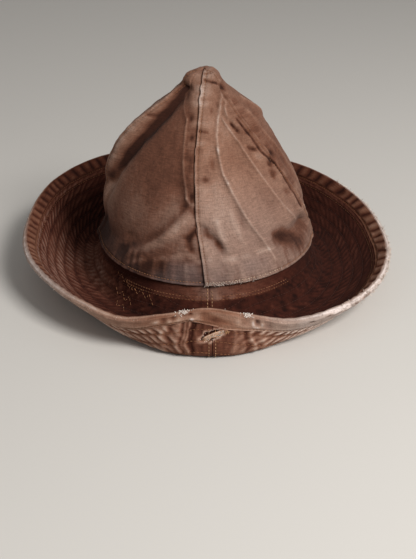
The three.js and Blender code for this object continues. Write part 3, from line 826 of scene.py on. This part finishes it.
def hem_form(azimuth):
    """Rows of the hem's smooth form, out along the brim, round the rim and back underneath."""
    above, below = hem_widths(azimuth)
    wrapped = np.concatenate([azimuth[-2:] - 360, azimuth, azimuth[:2] + 360])
    points, width = brim_grid(wrapped, np.linspace(HEM_FROM, 1, HEM_SAMPLES + 1))
    normals = -normals_of(points)[:, 2:-2]
    points, width = points[:, 2:-2], width[2:-2]
    edge, up = points[-1], normals[-1]
    outward = unit(points[-1] - points[-2])
    index = np.arange(len(azimuth))

    def face(widths, offset):
        rows = []
        for k in range(HEM_FACE):
            share = 1 - widths / width * (1 - k / HEM_FACE)
            place = (share - HEM_FROM) / HEM_SPAN * HEM_SAMPLES
            low = np.clip(np.floor(place).astype(int), 0, HEM_SAMPLES - 1)
            t = (place - low)[:, None]
            spot = points[low, index] * (1 - t) + points[low + 1, index] * t
            thin = 0.5 * HEM * (1 - smooth(k, 0, 4)) * np.sign(offset)
            rows.append(spot + (offset - thin) * normals[low, index])
        return rows

    top, bottom = GAP + HEM, UNDERSIDE - GAP - HEM
    middle, radius = (top + bottom) / 2, (top - bottom) / 2
    roll = []
    for k in range(HEM_ROLL + 1):
        angle = math.pi * (0.5 - k / HEM_ROLL)
        spread = radius * 0.55 * math.cos(angle)
        roll.append(edge + (middle + radius * math.sin(angle)) * up + spread * outward)
    return np.stack(face(above, top) + roll + face(below, bottom)[::-1])


def hem_detail(azimuth, k, rows):
    """Relief and fade of the hem over its rows, which run from its upper edge over the rim."""
    turn = from_front(azimuth)
    cells = azimuth / AZIMUTH_CELL
    apex = HEM_FACE + HEM_ROLL / 2
    on_top = 1 - smooth(k, HEM_FACE, HEM_FACE + HEM_ROLL)
    front = hump(turn, 48)
    drift = 0.5 * noise(cells / 2, 0, 42) + 0.1 * noise(2 * cells, k / 9, 43)
    slant = k / 30 * np.sin(np.radians(azimuth))
    bar_phase = 92 * azimuth / 360 + 3 * np.cos(np.radians(azimuth)) + drift + slant
    bars = 2 * np.abs(np.sin(math.pi * bar_phase)) - 1.27
    edge = np.minimum(np.abs(k), np.abs(rows - 1 - k))
    body = smooth(edge, 1.5, 6)
    rim = hump(k - apex, 4)
    soft = noise(cells, k / 9, 44) + 0.5 * noise(2 * cells, k / 9, 47)
    standing = 0.4 * on_top + 0.25 * (1 - on_top) * (1 - 0.9 * front)
    relief = body * (standing * bars * (1 - rim) + 0.4 * soft * (1 - 0.8 * rim))
    relief = relief - 0.4 * hump(edge - 2.2, 1) + 0.1 * noise(4 * cells, k / 5, 45) * (1 - 0.6 * rim)
    dimples = sum(s * hump(turn - middle, reach) * hump(k - row, rows_reach)
                  for middle, row, s, reach, rows_reach in HEM_DIMPLES)
    relief = relief + dimples

    right = worn_right(turn, 9, 45)
    left = hump(turn + 75, 34)
    golden = hump(turn, 24)
    above = 0.15 + 0.26 * left + 0.29 * right * (1 - 0.7 * smooth(turn, 90, 135))
    below = 0.66 + 0.27 * right + 0.04 * hump(turn - 24, 9) + 0.22 * hump(turn + 62, 26) - 0.12 * golden
    blotches = noise(cells, k / 9, 49) + 0.6 * noise(2 * cells, k / 5, 50)
    below = below + 0.08 * blotches * golden
    # the dimples' painted highlight and shade
    fade = above * on_top + below * (1 - on_top) + 0.26 * dimples
    fade = fade + (0.12 + 0.06 * right) * body * bars * on_top * (1 - rim)
    frayed = 0.85 + (0.12 + 0.2 * right) * noise(4 * cells, 7, 48)
    fade = fade + 0.46 * hump(k - apex + 0.5, 1.3) * frayed
    fade = fade + 0.12 * right * rim + 0.05 * noise(2 * cells, k / 6, 46)
    nicks = sum(hump(turn - middle, reach) * hump(k - row, 1.3) for middle, row, reach in HEM_NICKS)
    return relief - 0.5 * nicks, fade - 0.8 * nicks


def build_hem():
    azimuth = np.arange(HEM_STEPS) * 360 / HEM_STEPS
    form = hem_form(azimuth)
    k = np.arange(len(form))[:, None]
    relief, fade = hem_detail(azimuth, k, len(form))
    # paler where the cloth stands up and is rubbed, darker in its hollows
    worn_ridges_dark_hollows = relief - blurred(relief, 20)
    outer = form + relief[..., None] * ring_normals(form)
    turn = from_front(azimuth)
    right = worn_right(turn, 7, 30)
    bleached = 0.64 * (right + hump(turn + 62, 26)) * (k > HEM_FACE)
    bleached = bleached * smooth(fade, 0.2, 0.5) * (1 - smooth(fade, 0.85, 1))
    dye = dyed(np.clip(fade + 0.2 * worn_ridges_dark_hollows, 0, 1), HEM_DYES)
    dye = mixed(dye, BLEACHED_DYE, bleached)
    place = np.stack([azimuth * 2.6 + 0 * k, 0.8 * k + 0 * azimuth], -1)
    piece = add_ring("brim_hem", outer, dye, place, CLOTHS["hem"])
    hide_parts("brim_hem")
    return outer


def ring_normals(points):
    across = np.roll(points, -1, axis=1) - np.roll(points, 1, axis=1)
    along = np.gradient(points, axis=0)
    return unit(np.cross(along, across))


# ---------------------------------------------------------------- meshes


def linear(colour):
    """A colour as the eye sees it, 0 to 255, to the light that it reflects."""
    c = np.asarray(colour, float) / 255
    return np.where(c <= 0.04045, c / 12.92, ((c + 0.055) / 1.055) ** 2.4)


def dyed(fade, dyes):
    shades = linear(dyes)
    steps = np.linspace(0, 1, len(dyes))
    return np.stack([np.interp(fade, steps, shades[:, k]) for k in range(3)], -1)


def mixed(colour, other, amount):
    amount = np.broadcast_to(amount, colour.shape[:2])[..., None]
    return colour * (1 - amount) + linear(other) * amount


def make_piece(name, points, faces, dye, place, material):
    """A mesh in the frame from points in the hat's own millimetres, with its dye and weave places."""
    mesh = bpy.data.meshes.new(name)
    mesh.from_pydata(((points + HAT_AXIS) / 1000).tolist(), [], faces)
    colour = mesh.attributes.new("dye", "FLOAT_COLOR", "POINT")
    dyes = np.column_stack([dye, np.ones(len(dye))])
    colour.data.foreach_set("color", dyes.astype(np.float32).ravel())
    weave = mesh.attributes.new("weave", "FLOAT_VECTOR", "POINT")
    places = np.column_stack([place, np.zeros(len(place))])
    weave.data.foreach_set("vector", places.astype(np.float32).ravel())
    mesh.polygons.foreach_set("use_smooth", np.ones(len(mesh.polygons), bool))
    mesh.materials.append(material)
    mesh.update()
    piece = bpy.data.objects.new(name + "_cloth", mesh)
    bpy.context.scene.collection.objects.link(piece)
    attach(piece, "root")
    return piece


def quads(rows, columns, offset=0, turned=False, closed=False):
    """Faces of a grid of vertices. A closed grid's last column joins its first."""
    wide = columns if closed else columns - 1
    row, column = np.meshgrid(np.arange(rows - 1), np.arange(wide), indexing="ij")
    beside = (column + 1) % columns
    corners = [row * columns + column, row * columns + beside,
               (row + 1) * columns + beside, (row + 1) * columns + column]
    if turned:
        corners.reverse()
    return (np.stack(corners, -1).reshape(-1, 4) + offset).tolist()


def border(rows, columns, step):
    """Indices of a grid's border, every step-th, anticlockwise from its first corner."""
    low = [(0, k) for k in range(0, columns - 1, step)]
    right = [(k, columns - 1) for k in range(0, rows - 1, step)]
    high = [(rows - 1, k) for k in range(columns - 1, 0, -step)]
    left = [(k, 0) for k in range(rows - 1, 0, -step)]
    return [r * columns + c for r, c in low + right + high + left]


COARSE = 4  # the hidden face of a sheet has one vertex for this many of the shown face's, each way


def flat(grid):
    return grid.reshape(-1, grid.shape[-1])


def with_hidden(values):
    """A sheet's values for its shown face and then for its hidden one."""
    return np.concatenate([flat(values), flat(values[::COARSE, ::COARSE])])


def add_sheet(name, outer, dye, place, thickness, material):
    """A closed sheet whose shown face is a fine grid and whose hidden face is a coarse one."""
    rows, columns = outer.shape[:2]
    inner = (outer - thickness * normals_of(outer))[::COARSE, ::COARSE]
    small_rows, small_columns = inner.shape[:2]
    count = rows * columns
    faces = quads(rows, columns) + quads(small_rows, small_columns, count, turned=True)
    fine = border(rows, columns, 1)
    coarse = [count + k for k in border(small_rows, small_columns, 1)]
    fine.append(fine[0])
    coarse.append(coarse[0])
    for k in range(len(coarse) - 1):
        stretch = fine[k * COARSE:(k + 1) * COARSE + 1]
        faces.append(stretch[::-1] + [coarse[k], coarse[k + 1]])
    return make_piece(
        name,
        np.concatenate([flat(outer), flat(inner)]),
        faces,
        with_hidden(dye),
        with_hidden(place),
        material,
    )


def add_ring(name, outer, dye, place, material):
    """A closed ring whose rows go round the hat. Its last row is joined to its first."""
    rows, columns = outer.shape[:2]
    faces = quads(rows, columns, turned=True, closed=True)
    last = (rows - 1) * columns
    for k in range(columns):
        beside = (k + 1) % columns
        faces.append([last + k, last + beside, beside, k])
    return make_piece(name, flat(outer), faces, flat(dye), flat(place), material)


# ---------------------------------------------------------------- threads


def tubes(paths, radii, sides=3):
    """Vertices and faces of tubes along paths, an array of (tube, point, xyz), with radii alike."""
    count, length = paths.shape[:2]
    tangent = unit(np.gradient(paths, axis=1))
    guide = np.where(np.abs(tangent[..., 2:]) > 0.9, [1.0, 0, 0], [0, 0, 1.0])
    side = unit(np.cross(tangent, guide))
    up = np.cross(side, tangent)
    angles = np.arange(sides) * 2 * math.pi / sides
    ring = np.cos(angles)[:, None] * side[:, :, None] + np.sin(angles)[:, None] * up[:, :, None]
    points = paths[:, :, None] + ring * radii[:, :, None, None]
    one = []
    for k in range(length - 1):
        for j in range(sides):
            i = (j + 1) % sides
            one.append([k * sides + j, k * sides + i, (k + 1) * sides + i, (k + 1) * sides + j])
    one += [list(range(sides))[::-1], [(length - 1) * sides + j for j in range(sides)]]
    size = length * sides
    faces = [[corner + k * size for corner in face] for k in range(count) for face in one]
    return points.reshape(-1, 3), faces


def on_grid(grid, row, column):
    """Points of a grid at fractional rows and columns."""
    rows, columns = grid.shape[:2]
    r = np.clip(np.floor(row).astype(int), 0, rows - 2)
    c = np.clip(np.floor(column).astype(int), 0, columns - 2)
    t, s = (row - r)[..., None], (column - c)[..., None]
    low = grid[r, c] * (1 - s) + grid[r, c + 1] * s
    high = grid[r + 1, c] * (1 - s) + grid[r + 1, c + 1] * s
    return low * (1 - t) + high * t


def stitches(grid, row, column, pitch, length, radius, rise, sign=1):
    """Paths and radii of the stitches of one line of sewing, which runs along the given rows and
    columns of a grid. Each stitch arches over the cloth by rise."""
    spots = on_grid(grid, row, column)
    travelled = np.concatenate([[0], np.cumsum(np.linalg.norm(np.diff(spots, axis=0), axis=1))])
    starts = np.arange(0.3 * pitch, travelled[-1] - length, pitch)
    at = starts[:, None] + length * np.array([0, 0.25, 0.75, 1])
    rows = np.interp(at, travelled, row)
    columns = np.interp(at, travelled, column)
    normals = sign * on_grid(normals_of(grid), rows, columns)
    paths = on_grid(grid, rows, columns) + normals * rise * np.array([-0.5, 1, 1, -0.5])[:, None]
    radii = radius * np.array([0.5, 1, 1, 0.5]) * np.ones((len(starts), 1))
    above_floor = paths[..., 2].min(axis=1) > 0.3
    return paths[above_floor], radii[above_floor]


def add_threads(name, runs):
    """One piece from runs of tubes, each (paths, radii, colour)."""
    points, faces, dyes = [], [], []
    rng = np.random.default_rng(len(runs))
    count = 0
    for paths, radii, colour in runs:
        made, corners = tubes(paths, radii)
        colours = np.clip(np.array(colour) * rng.uniform(0.85, 1.12, (len(paths), 1)), 0, 255)
        points.append(made)
        dyes.append(np.repeat(linear(colours), len(made) // len(paths), axis=0))
        faces += [[corner + count for corner in face] for face in corners]
        count += len(made)
    points = np.concatenate(points)
    piece = make_piece(name, points, faces, np.concatenate(dyes), points[:, :2], CLOTHS["thread"])
    return piece


def sew_brim_rows(side, face, ply):
    """The concentric rows of stitching on one face of half of the brim. Gold thread shows on the
    row beside the hem."""
    runs = []
    azimuth = np.linspace(ply["start"] + 0.6, ply["end"] - 0.6, 400)
    for k in range(BRIM_ROWS):
        row, column = ply_place(ply, azimuth, HEM_WIDTH + FIRST_ROW + k * ROW_PITCH + 0 * azimuth)
        kept = row > COLLAR_ROWS + 4
        inner = BROWN_THREAD if face == "upper" else TAN_THREAD
        colour = GOLD_THREAD if k == 0 else inner
        for part in np.split(np.arange(len(row)), np.flatnonzero(np.diff(kept.astype(int))) + 1):
            if kept[part[0]] and len(part) > 8:
                sewn = stitches(ply["grid"], row[part], column[part], 3.0, 2.2, 0.2, 0.12, -ply["sign"])
                runs.append((*sewn, colour))
    add_threads("brim_%s_%s_rows" % (face, side), runs)


def sew_line(ply, places, pitch, length, radius, rise, colour):
    """A line of stitches through places on a ply, each an azimuth and a distance from the rim."""
    places = np.array(places, float)
    steps = np.linspace(0, len(places) - 1, 30 * len(places))
    azimuth = np.interp(steps, np.arange(len(places)), places[:, 0])
    from_rim = np.interp(steps, np.arange(len(places)), places[:, 1])
    row, column = ply_place(ply, azimuth, from_rim)
    return (*stitches(ply["grid"], row, column, pitch, length, radius, rise, -ply["sign"]), colour)


def sew_brim_seams(brims):
    """A line of stitches on each side of the brim's front and back seams, on both faces, and two
    beside the crown's foot on the upper face at the front."""
    for face, inset in (("upper", 1.8), ("under", 2.1)):
        runs = []
        for side, ply in (("right", brims["right"][face]), ("left", brims["left"][face])):
            for seam, way in ((ply["start"], 1), (ply["end"], -1)):
                turn = way * inset / (1.9 if face == "upper" else 2.35)
                line = [(seam + turn, d) for d in np.linspace(HEM_WIDTH + 2, 95, 12)]
                runs.append(sew_line(ply, line, 2.6, 1.9, 0.3, 0.3, PALE_THREAD))
            if face == "upper":
                turns = np.linspace(*((BRIM_SEAM + 0.5, 44) if side == "right" else (318, 361.5)), 30)
                width = np.interp(turns, ply["azimuth"], ply["width"])
                for distance, colour in ((9, TAN_THREAD), (11.4, GOLD_THREAD)):
                    line = np.stack([turns, width - distance], -1)
                    runs.append(sew_line(ply, line, 2.6, 1.8, 0.2, 0.2, colour))
        add_threads("brim_%s_seam_stitches" % face, runs)


def sew_darning(left):
    """Loose tan thread that mends the brim's upper face at the front left. Its lines are places,
    each an azimuth and a distance from the crown seam."""
    lines = (
        ((-50, 6), (-47.5, 10), (-46, 7), (-43, 12), (-42, 8.5), (-39, 15), (-38, 11), (-36, 17)),
        ((-49, 19), (-46, 24), (-43, 20), (-40, 26), (-38, 21), (-35, 28)),
        ((-36, 12), (-33, 16), (-31, 11), (-28, 17), (-26, 13), (-23, 22)),
        ((-45, 27), (-43, 33), (-40, 29), (-37, 34)),
    )
    runs = []
    for line in lines:
        across = [np.interp(360 + azimuth, left["azimuth"], left["width"]) for azimuth, _ in line]
        places = [(360 + azimuth, width - distance) for (azimuth, distance), width in zip(line, across)]
        runs.append(sew_line(left, places, 3.4, 2.6, 0.2, 0.3, TAN_THREAD))
    add_threads("darning", runs)


def sew_hem(hem):
    """A line of stitches along each of the hem's edges."""
    column = np.linspace(0, HEM_STEPS - 1, HEM_STEPS)
    last = len(hem) - 1
    runs = []
    for row, colour in ((1.6, GOLD_THREAD), (last - 1.6, GOLD_THREAD)):
        sewn = stitches(hem, row + 0 * column, column, 2.6, 1.9, 0.17, 0.12, -1)
        runs.append((*sewn, colour))
    add_threads("hem_stitches", runs)


def sew_crown(gores):
    """The stitches along the crown's foot and beside its seams."""
    runs = []
    for seam, grid in enumerate(gores):
        gore, share = gore_places(seam, grid.shape[1] - 1, grid.shape[0] - 1)
        columns = np.arange(grid.shape[1])
        foot = FOOT_STITCH / GORE_LENGTH / TOP_SHARE * (grid.shape[0] - 1)
        turn = np.abs(gores_from_front(gore[0]))
        front = CREAM_THREAD if seam == 0 else TAN_THREAD
        for near, colour in ((turn < 0.45, front), (turn >= 0.45, GOLD_THREAD)):
            shown = columns[near & (gore[0] >= seam) & (gore[0] <= seam + 1)].astype(float)
            if len(shown) > 8:
                runs.append((*stitches(grid, foot + 0 * shown, shown, 2.5, 1.7, 0.26, 0.25), colour))
        rows = np.arange(3, grid.shape[0] - 4).astype(float)
        width = gore_width(np.full_like(share[:, 0], seam), share[:, 0])
        for edge, over in ((seam, GORES[seam][2]), (seam + 1, GORES[seam][3])):
            if not over:
                continue
            inward = SEAM_STITCH if edge == seam else -SEAM_STITCH
            target = edge + inward / width
            at = [np.interp(target[int(r)], gore[int(r)], columns) for r in rows]
            runs.append((*stitches(grid, rows, np.array(at), 2.5, 1.8, 0.22, 0.2), GOLD_THREAD))
    add_threads("crown_stitches", runs)


def tuft_paths(spots, directions, lengths, rng):
    """Short curved fibres that leave spots in given directions."""
    steps = np.linspace(0, 1, 4)[None, :, None]
    bend = rng.normal(0, 0.3, (len(spots), 1, 3))
    reach = directions[:, None] * steps + bend * steps**2
    return spots[:, None] + reach * lengths[:, None, None]


def fray_run(spots, aim, shortest, longest, thickness, colour, rng):
    paths = tuft_paths(spots, aim, rng.uniform(shortest, longest, len(spots)), rng)
    radii = thickness * np.tile([1, 0.9, 0.7, 0.4], (len(spots), 1))
    return paths, radii, colour


def rim_frays(hem, rng):
    """Broken fibres along the rim: many at the right, and two tufts at the front."""
    normals = ring_normals(hem)
    runs = []
    for azimuth, longest, thickness, colour in (
        (rng.uniform(40, 130, 700), 1.7, 0.22, FRAY),
        (rng.uniform(-100, 240, 90), 0.9, 0.2, FRAY),
        (rng.normal(-6.0, 0.9, 100), 0.9, 0.26, TUFT),
        (rng.normal(12.2, 0.8, 90), 0.9, 0.26, TUFT),
    ):
        column = np.clip(np.mod(azimuth, 360) / 360 * HEM_STEPS, 0, HEM_STEPS - 2)
        row = HEM_FACE + HEM_ROLL / 2 + rng.normal(0.8, 1.4, len(azimuth))
        aim = 0.6 * on_grid(normals, row, column) + rng.normal(0, 0.7, (len(azimuth), 3))
        runs.append(fray_run(on_grid(hem, row, column), aim, 0.4, longest, thickness, colour, rng))
    return runs


def foot_frays(grid, rng):
    """The crown's frayed lower edge, just right of the front."""
    count = 150
    column = np.abs(rng.normal(0, 0.16, count)) * (grid.shape[1] - 1)
    row = rng.uniform(0, 3, count)
    aim = on_grid(normals_of(grid), row, column) + rng.normal(0, 0.7, (count, 3))
    return fray_run(on_grid(grid, row, column), aim, 0.5, 1.4, 0.18, FRAY, rng)


def under_spots(under, azimuth, from_rim):
    """Points of the brim's lower face at either side of its front seam, and the way out from them."""
    spots = np.zeros((*azimuth.shape, 3))
    out = np.zeros_like(spots)
    for side, chosen in (("left", azimuth < BRIM_SEAM), ("right", azimuth >= BRIM_SEAM)):
        ply = under[side]
        row, column = ply_place(ply, azimuth[chosen] + (360 if side == "left" else 0), from_rim[chosen])
        spots[chosen] = on_grid(ply["grid"], row, column)
        out[chosen] = -ply["sign"] * on_grid(normals_of(ply["grid"]), row, column)
    return spots, out


def tear_frays(under, rng):
    """Loose threads strung along the lower part of the tear, the fibres of its edge, and a knot at its
    right end."""
    middle, down, half_length, half_width, turned = TEAR
    angle = math.radians(turned)

    def at(along, across):
        sideways = along * math.cos(angle) - across * math.sin(angle)
        azimuth = middle + np.degrees(sideways / FRONT_REACH)
        return under_spots(under, azimuth, down - along * math.sin(angle) - across * math.cos(angle))

    t = np.linspace(0, 1, 8)
    lines = np.linspace(-0.95, 0.05, 11)[:, None]
    reach = half_length * np.sqrt(1 - 0.8 * lines**2)
    along = reach * (2 * t - 1) * 0.95 + 0.8 + rng.normal(0, 0.25, (11, 1))
    across = half_width * lines + rng.normal(0, 0.1, (11, 8)) + 0.5 * np.sin(math.pi * t)
    spots, out = at(along, across)
    strands = spots + (0.1 + 1.3 * np.sin(math.pi * t))[:, None] * out
    colours = (TEAR_FRAY, FRAY)
    runs = [(strands[k::2], np.full((len(strands[k::2]), 8), 0.3), colours[k]) for k in range(2)]
    around = rng.uniform(0, 2 * math.pi, 40)
    spots, out = at(half_length * np.cos(around), half_width * np.sin(around))
    aim = 0.3 * out + rng.normal(0, 0.5, out.shape)
    runs.append(fray_run(spots + 0.3 * out, aim, 0.4, 0.9, 0.2, FRAY, rng))
    spots, out = under_spots(under, rng.normal(6.1, 0.3, 40), rng.normal(14.6, 0.6, 40))
    aim = 0.7 * out + rng.normal(0, 0.6, out.shape)
    runs.append(fray_run(spots, aim, 0.5, 1.3, 0.24, PALE_THREAD, rng))
    return runs


def add_frays(hem, gores, under):
    rng = np.random.default_rng(8)
    runs = [*rim_frays(hem, rng), foot_frays(gores[0], rng), *tear_frays(under, rng)]
    add_threads("frays", runs)


# ---------------------------------------------------------------- materials


def cloth_material(name, roughness, sheen, weave_depth, blotch):
    """Twill whose dye comes with the mesh. Threads and specks vary it and stand up from it, and blotches
    vary it."""
    material = bpy.data.materials.new(name)
    material.use_nodes = True
    nodes, links = material.node_tree.nodes, material.node_tree.links
    shader = nodes["Principled BSDF"]
    shader.inputs["Roughness"].default_value = roughness
    shader.inputs["Sheen Weight"].default_value = sheen
    shader.inputs["Sheen Roughness"].default_value = 0.5
    shader.inputs["Specular IOR Level"].default_value = 0.15

    def node(kind, **settings):
        made = nodes.new(kind)
        for key, value in settings.items():
            if hasattr(made, key):
                setattr(made, key, value)
            else:
                made.inputs[key].default_value = value
        return made

    def maths(operation, first, second):
        made = node("ShaderNodeMath", operation=operation)
        for socket, value in zip(made.inputs, (first, second)):
            if isinstance(value, (int, float)):
                socket.default_value = value
            else:
                links.new(value, socket)
        return made.outputs[0]

    dye = node("ShaderNodeAttribute", attribute_name="dye")
    place = node("ShaderNodeAttribute", attribute_name="weave")
    patterns = {}
    for key, stretch, scale, detail in (
        ("warp", (1, 0.15, 1), 0.9, 2),
        ("weft", (0.1, 1, 1), 1.0, 2),
        ("speck", (1, 1, 1), 0.7, 3),
        ("blotch", (1, 1, 1), 0.09, 3),
    ):
        mapping = node("ShaderNodeMapping", Scale=stretch)
        links.new(place.outputs["Vector"], mapping.inputs["Vector"])
        pattern = node("ShaderNodeTexNoise", Scale=scale, Detail=detail, Roughness=0.6)
        links.new(mapping.outputs["Vector"], pattern.inputs["Vector"])
        patterns[key] = maths("SUBTRACT", pattern.outputs["Fac"], 0.5)
    twill = node("ShaderNodeTexWave", bands_direction="DIAGONAL", Scale=0.5, Distortion=0.6)
    links.new(place.outputs["Vector"], twill.inputs["Vector"])

    warp = maths("MULTIPLY", patterns["warp"], 0.5)
    threads = maths("ADD", warp, maths("MULTIPLY", patterns["weft"], 0.9))
    grain = maths("ADD", threads, maths("MULTIPLY", patterns["speck"], 0.8))
    lines = maths("MULTIPLY", maths("SUBTRACT", twill.outputs["Fac"], 0.5), 0.12)
    change = maths("ADD", maths("ADD", grain, lines), maths("MULTIPLY", patterns["blotch"], blotch))
    value = maths("ADD", change, 1.0)
    shade = node("ShaderNodeVectorMath", operation="SCALE")
    links.new(dye.outputs["Color"], shade.inputs[0])
    links.new(value, shade.inputs["Scale"])
    links.new(shade.outputs["Vector"], shader.inputs["Base Color"])

    height = maths("ADD", grain, maths("MULTIPLY", twill.outputs["Fac"], 0.25))
    relief = node("ShaderNodeBump", Strength=0.7, Distance=weave_depth)
    links.new(height, relief.inputs["Height"])
    links.new(relief.outputs["Normal"], shader.inputs["Normal"])
    return material


# ---------------------------------------------------------------- stage


def place_camera():
    """Above the front of the hat, looking down on it."""
    data = bpy.data.cameras.new("camera")
    data.sensor_width = 36
    data.lens = 70.45
    camera = bpy.data.objects.new("camera", data)
    camera.location = (-0.00108, -0.81895, 0.41453)
    camera.rotation_euler = (math.radians(62.46), 0, math.radians(-0.173))
    bpy.context.scene.collection.objects.link(camera)
    bpy.context.scene.camera = camera


def add_light(name, position, target, size, power, colour):
    data = bpy.data.lights.new(name, "AREA")
    data.size = size
    data.energy = power
    data.color = colour
    light = bpy.data.objects.new(name, data)
    light.location = position
    away = np.array(position) - np.array(target)
    light.rotation_euler = (
        math.acos(away[2] / np.linalg.norm(away)), 0, math.atan2(away[1], away[0]) + math.pi / 2)
    bpy.context.scene.collection.objects.link(light)


def set_stage():
    """A pale floor, a large soft light from the front right, a weak one from the front left and a pale
    room."""
    bpy.context.scene.view_settings.view_transform = "Standard"
    size = 6.0
    mesh = bpy.data.meshes.new("floor")
    corners = [(-size, -size, 0), (size, -size, 0), (size, size, 0), (-size, size, 0)]
    mesh.from_pydata(corners, [], [(0, 1, 2, 3)])
    material = bpy.data.materials.new("floor")
    material.use_nodes = True
    shader = material.node_tree.nodes["Principled BSDF"]
    shader.inputs["Base Color"].default_value = (0.6, 0.58, 0.55, 1)
    shader.inputs["Roughness"].default_value = 0.9
    mesh.materials.append(material)
    floor = bpy.data.objects.new("floor", mesh)
    bpy.context.scene.collection.objects.link(floor)
    world = bpy.data.worlds.new("room")
    world.use_nodes = True
    room = world.node_tree.nodes["Background"]
    room.inputs["Color"].default_value = (1, 0.98, 0.96, 1)
    room.inputs["Strength"].default_value = 0.27
    bpy.context.scene.world = world
    add_light("key", (0.8, -0.95, 1.15), (0, 0, 0.05), 0.6, 29, (1, 0.98, 0.95))
    add_light("fill", (-1.2, -0.9, 0.9), (0, 0, 0.05), 1.0, 1.0, (1, 0.98, 0.96))


# ---------------------------------------------------------------- hat

place_camera()
CLOTHS = {
    "crown": cloth_material("crown_twill", 0.9, 0.04, 0.0004, 0.25),
    "upper": cloth_material("upper_twill", 0.95, 0.0, 0.0004, 0.3),
    "under": cloth_material("under_twill", 0.9, 0.0, 0.0004, 0.3),
    "hem": cloth_material("hem_twill", 0.9, 0.0, 0.0004, 0.3),
    "thread": cloth_material("thread", 0.7, 0.05, 0.0001, 0.1),
}
HALVES = (("right", BRIM_SEAM, 180), ("left", 180, 360 + BRIM_SEAM))
gores = [build_gore(seam) for seam in range(4)]
brims = {}
for side, start, end in HALVES:
    brims[side] = {face: build_ply(face, side, start + HALF_SPLIT, end - HALF_SPLIT) for face in PLIES}
hem = build_hem()
for side, plies in brims.items():
    sew_brim_rows(side, "upper", plies["upper"])
    sew_brim_rows(side, "under", plies["under"])
sew_brim_seams(brims)
sew_darning(brims["left"]["upper"])
sew_hem(hem)
sew_crown(gores)
add_frays(hem, gores, {side: plies["under"] for side, plies in brims.items()})
set_stage()
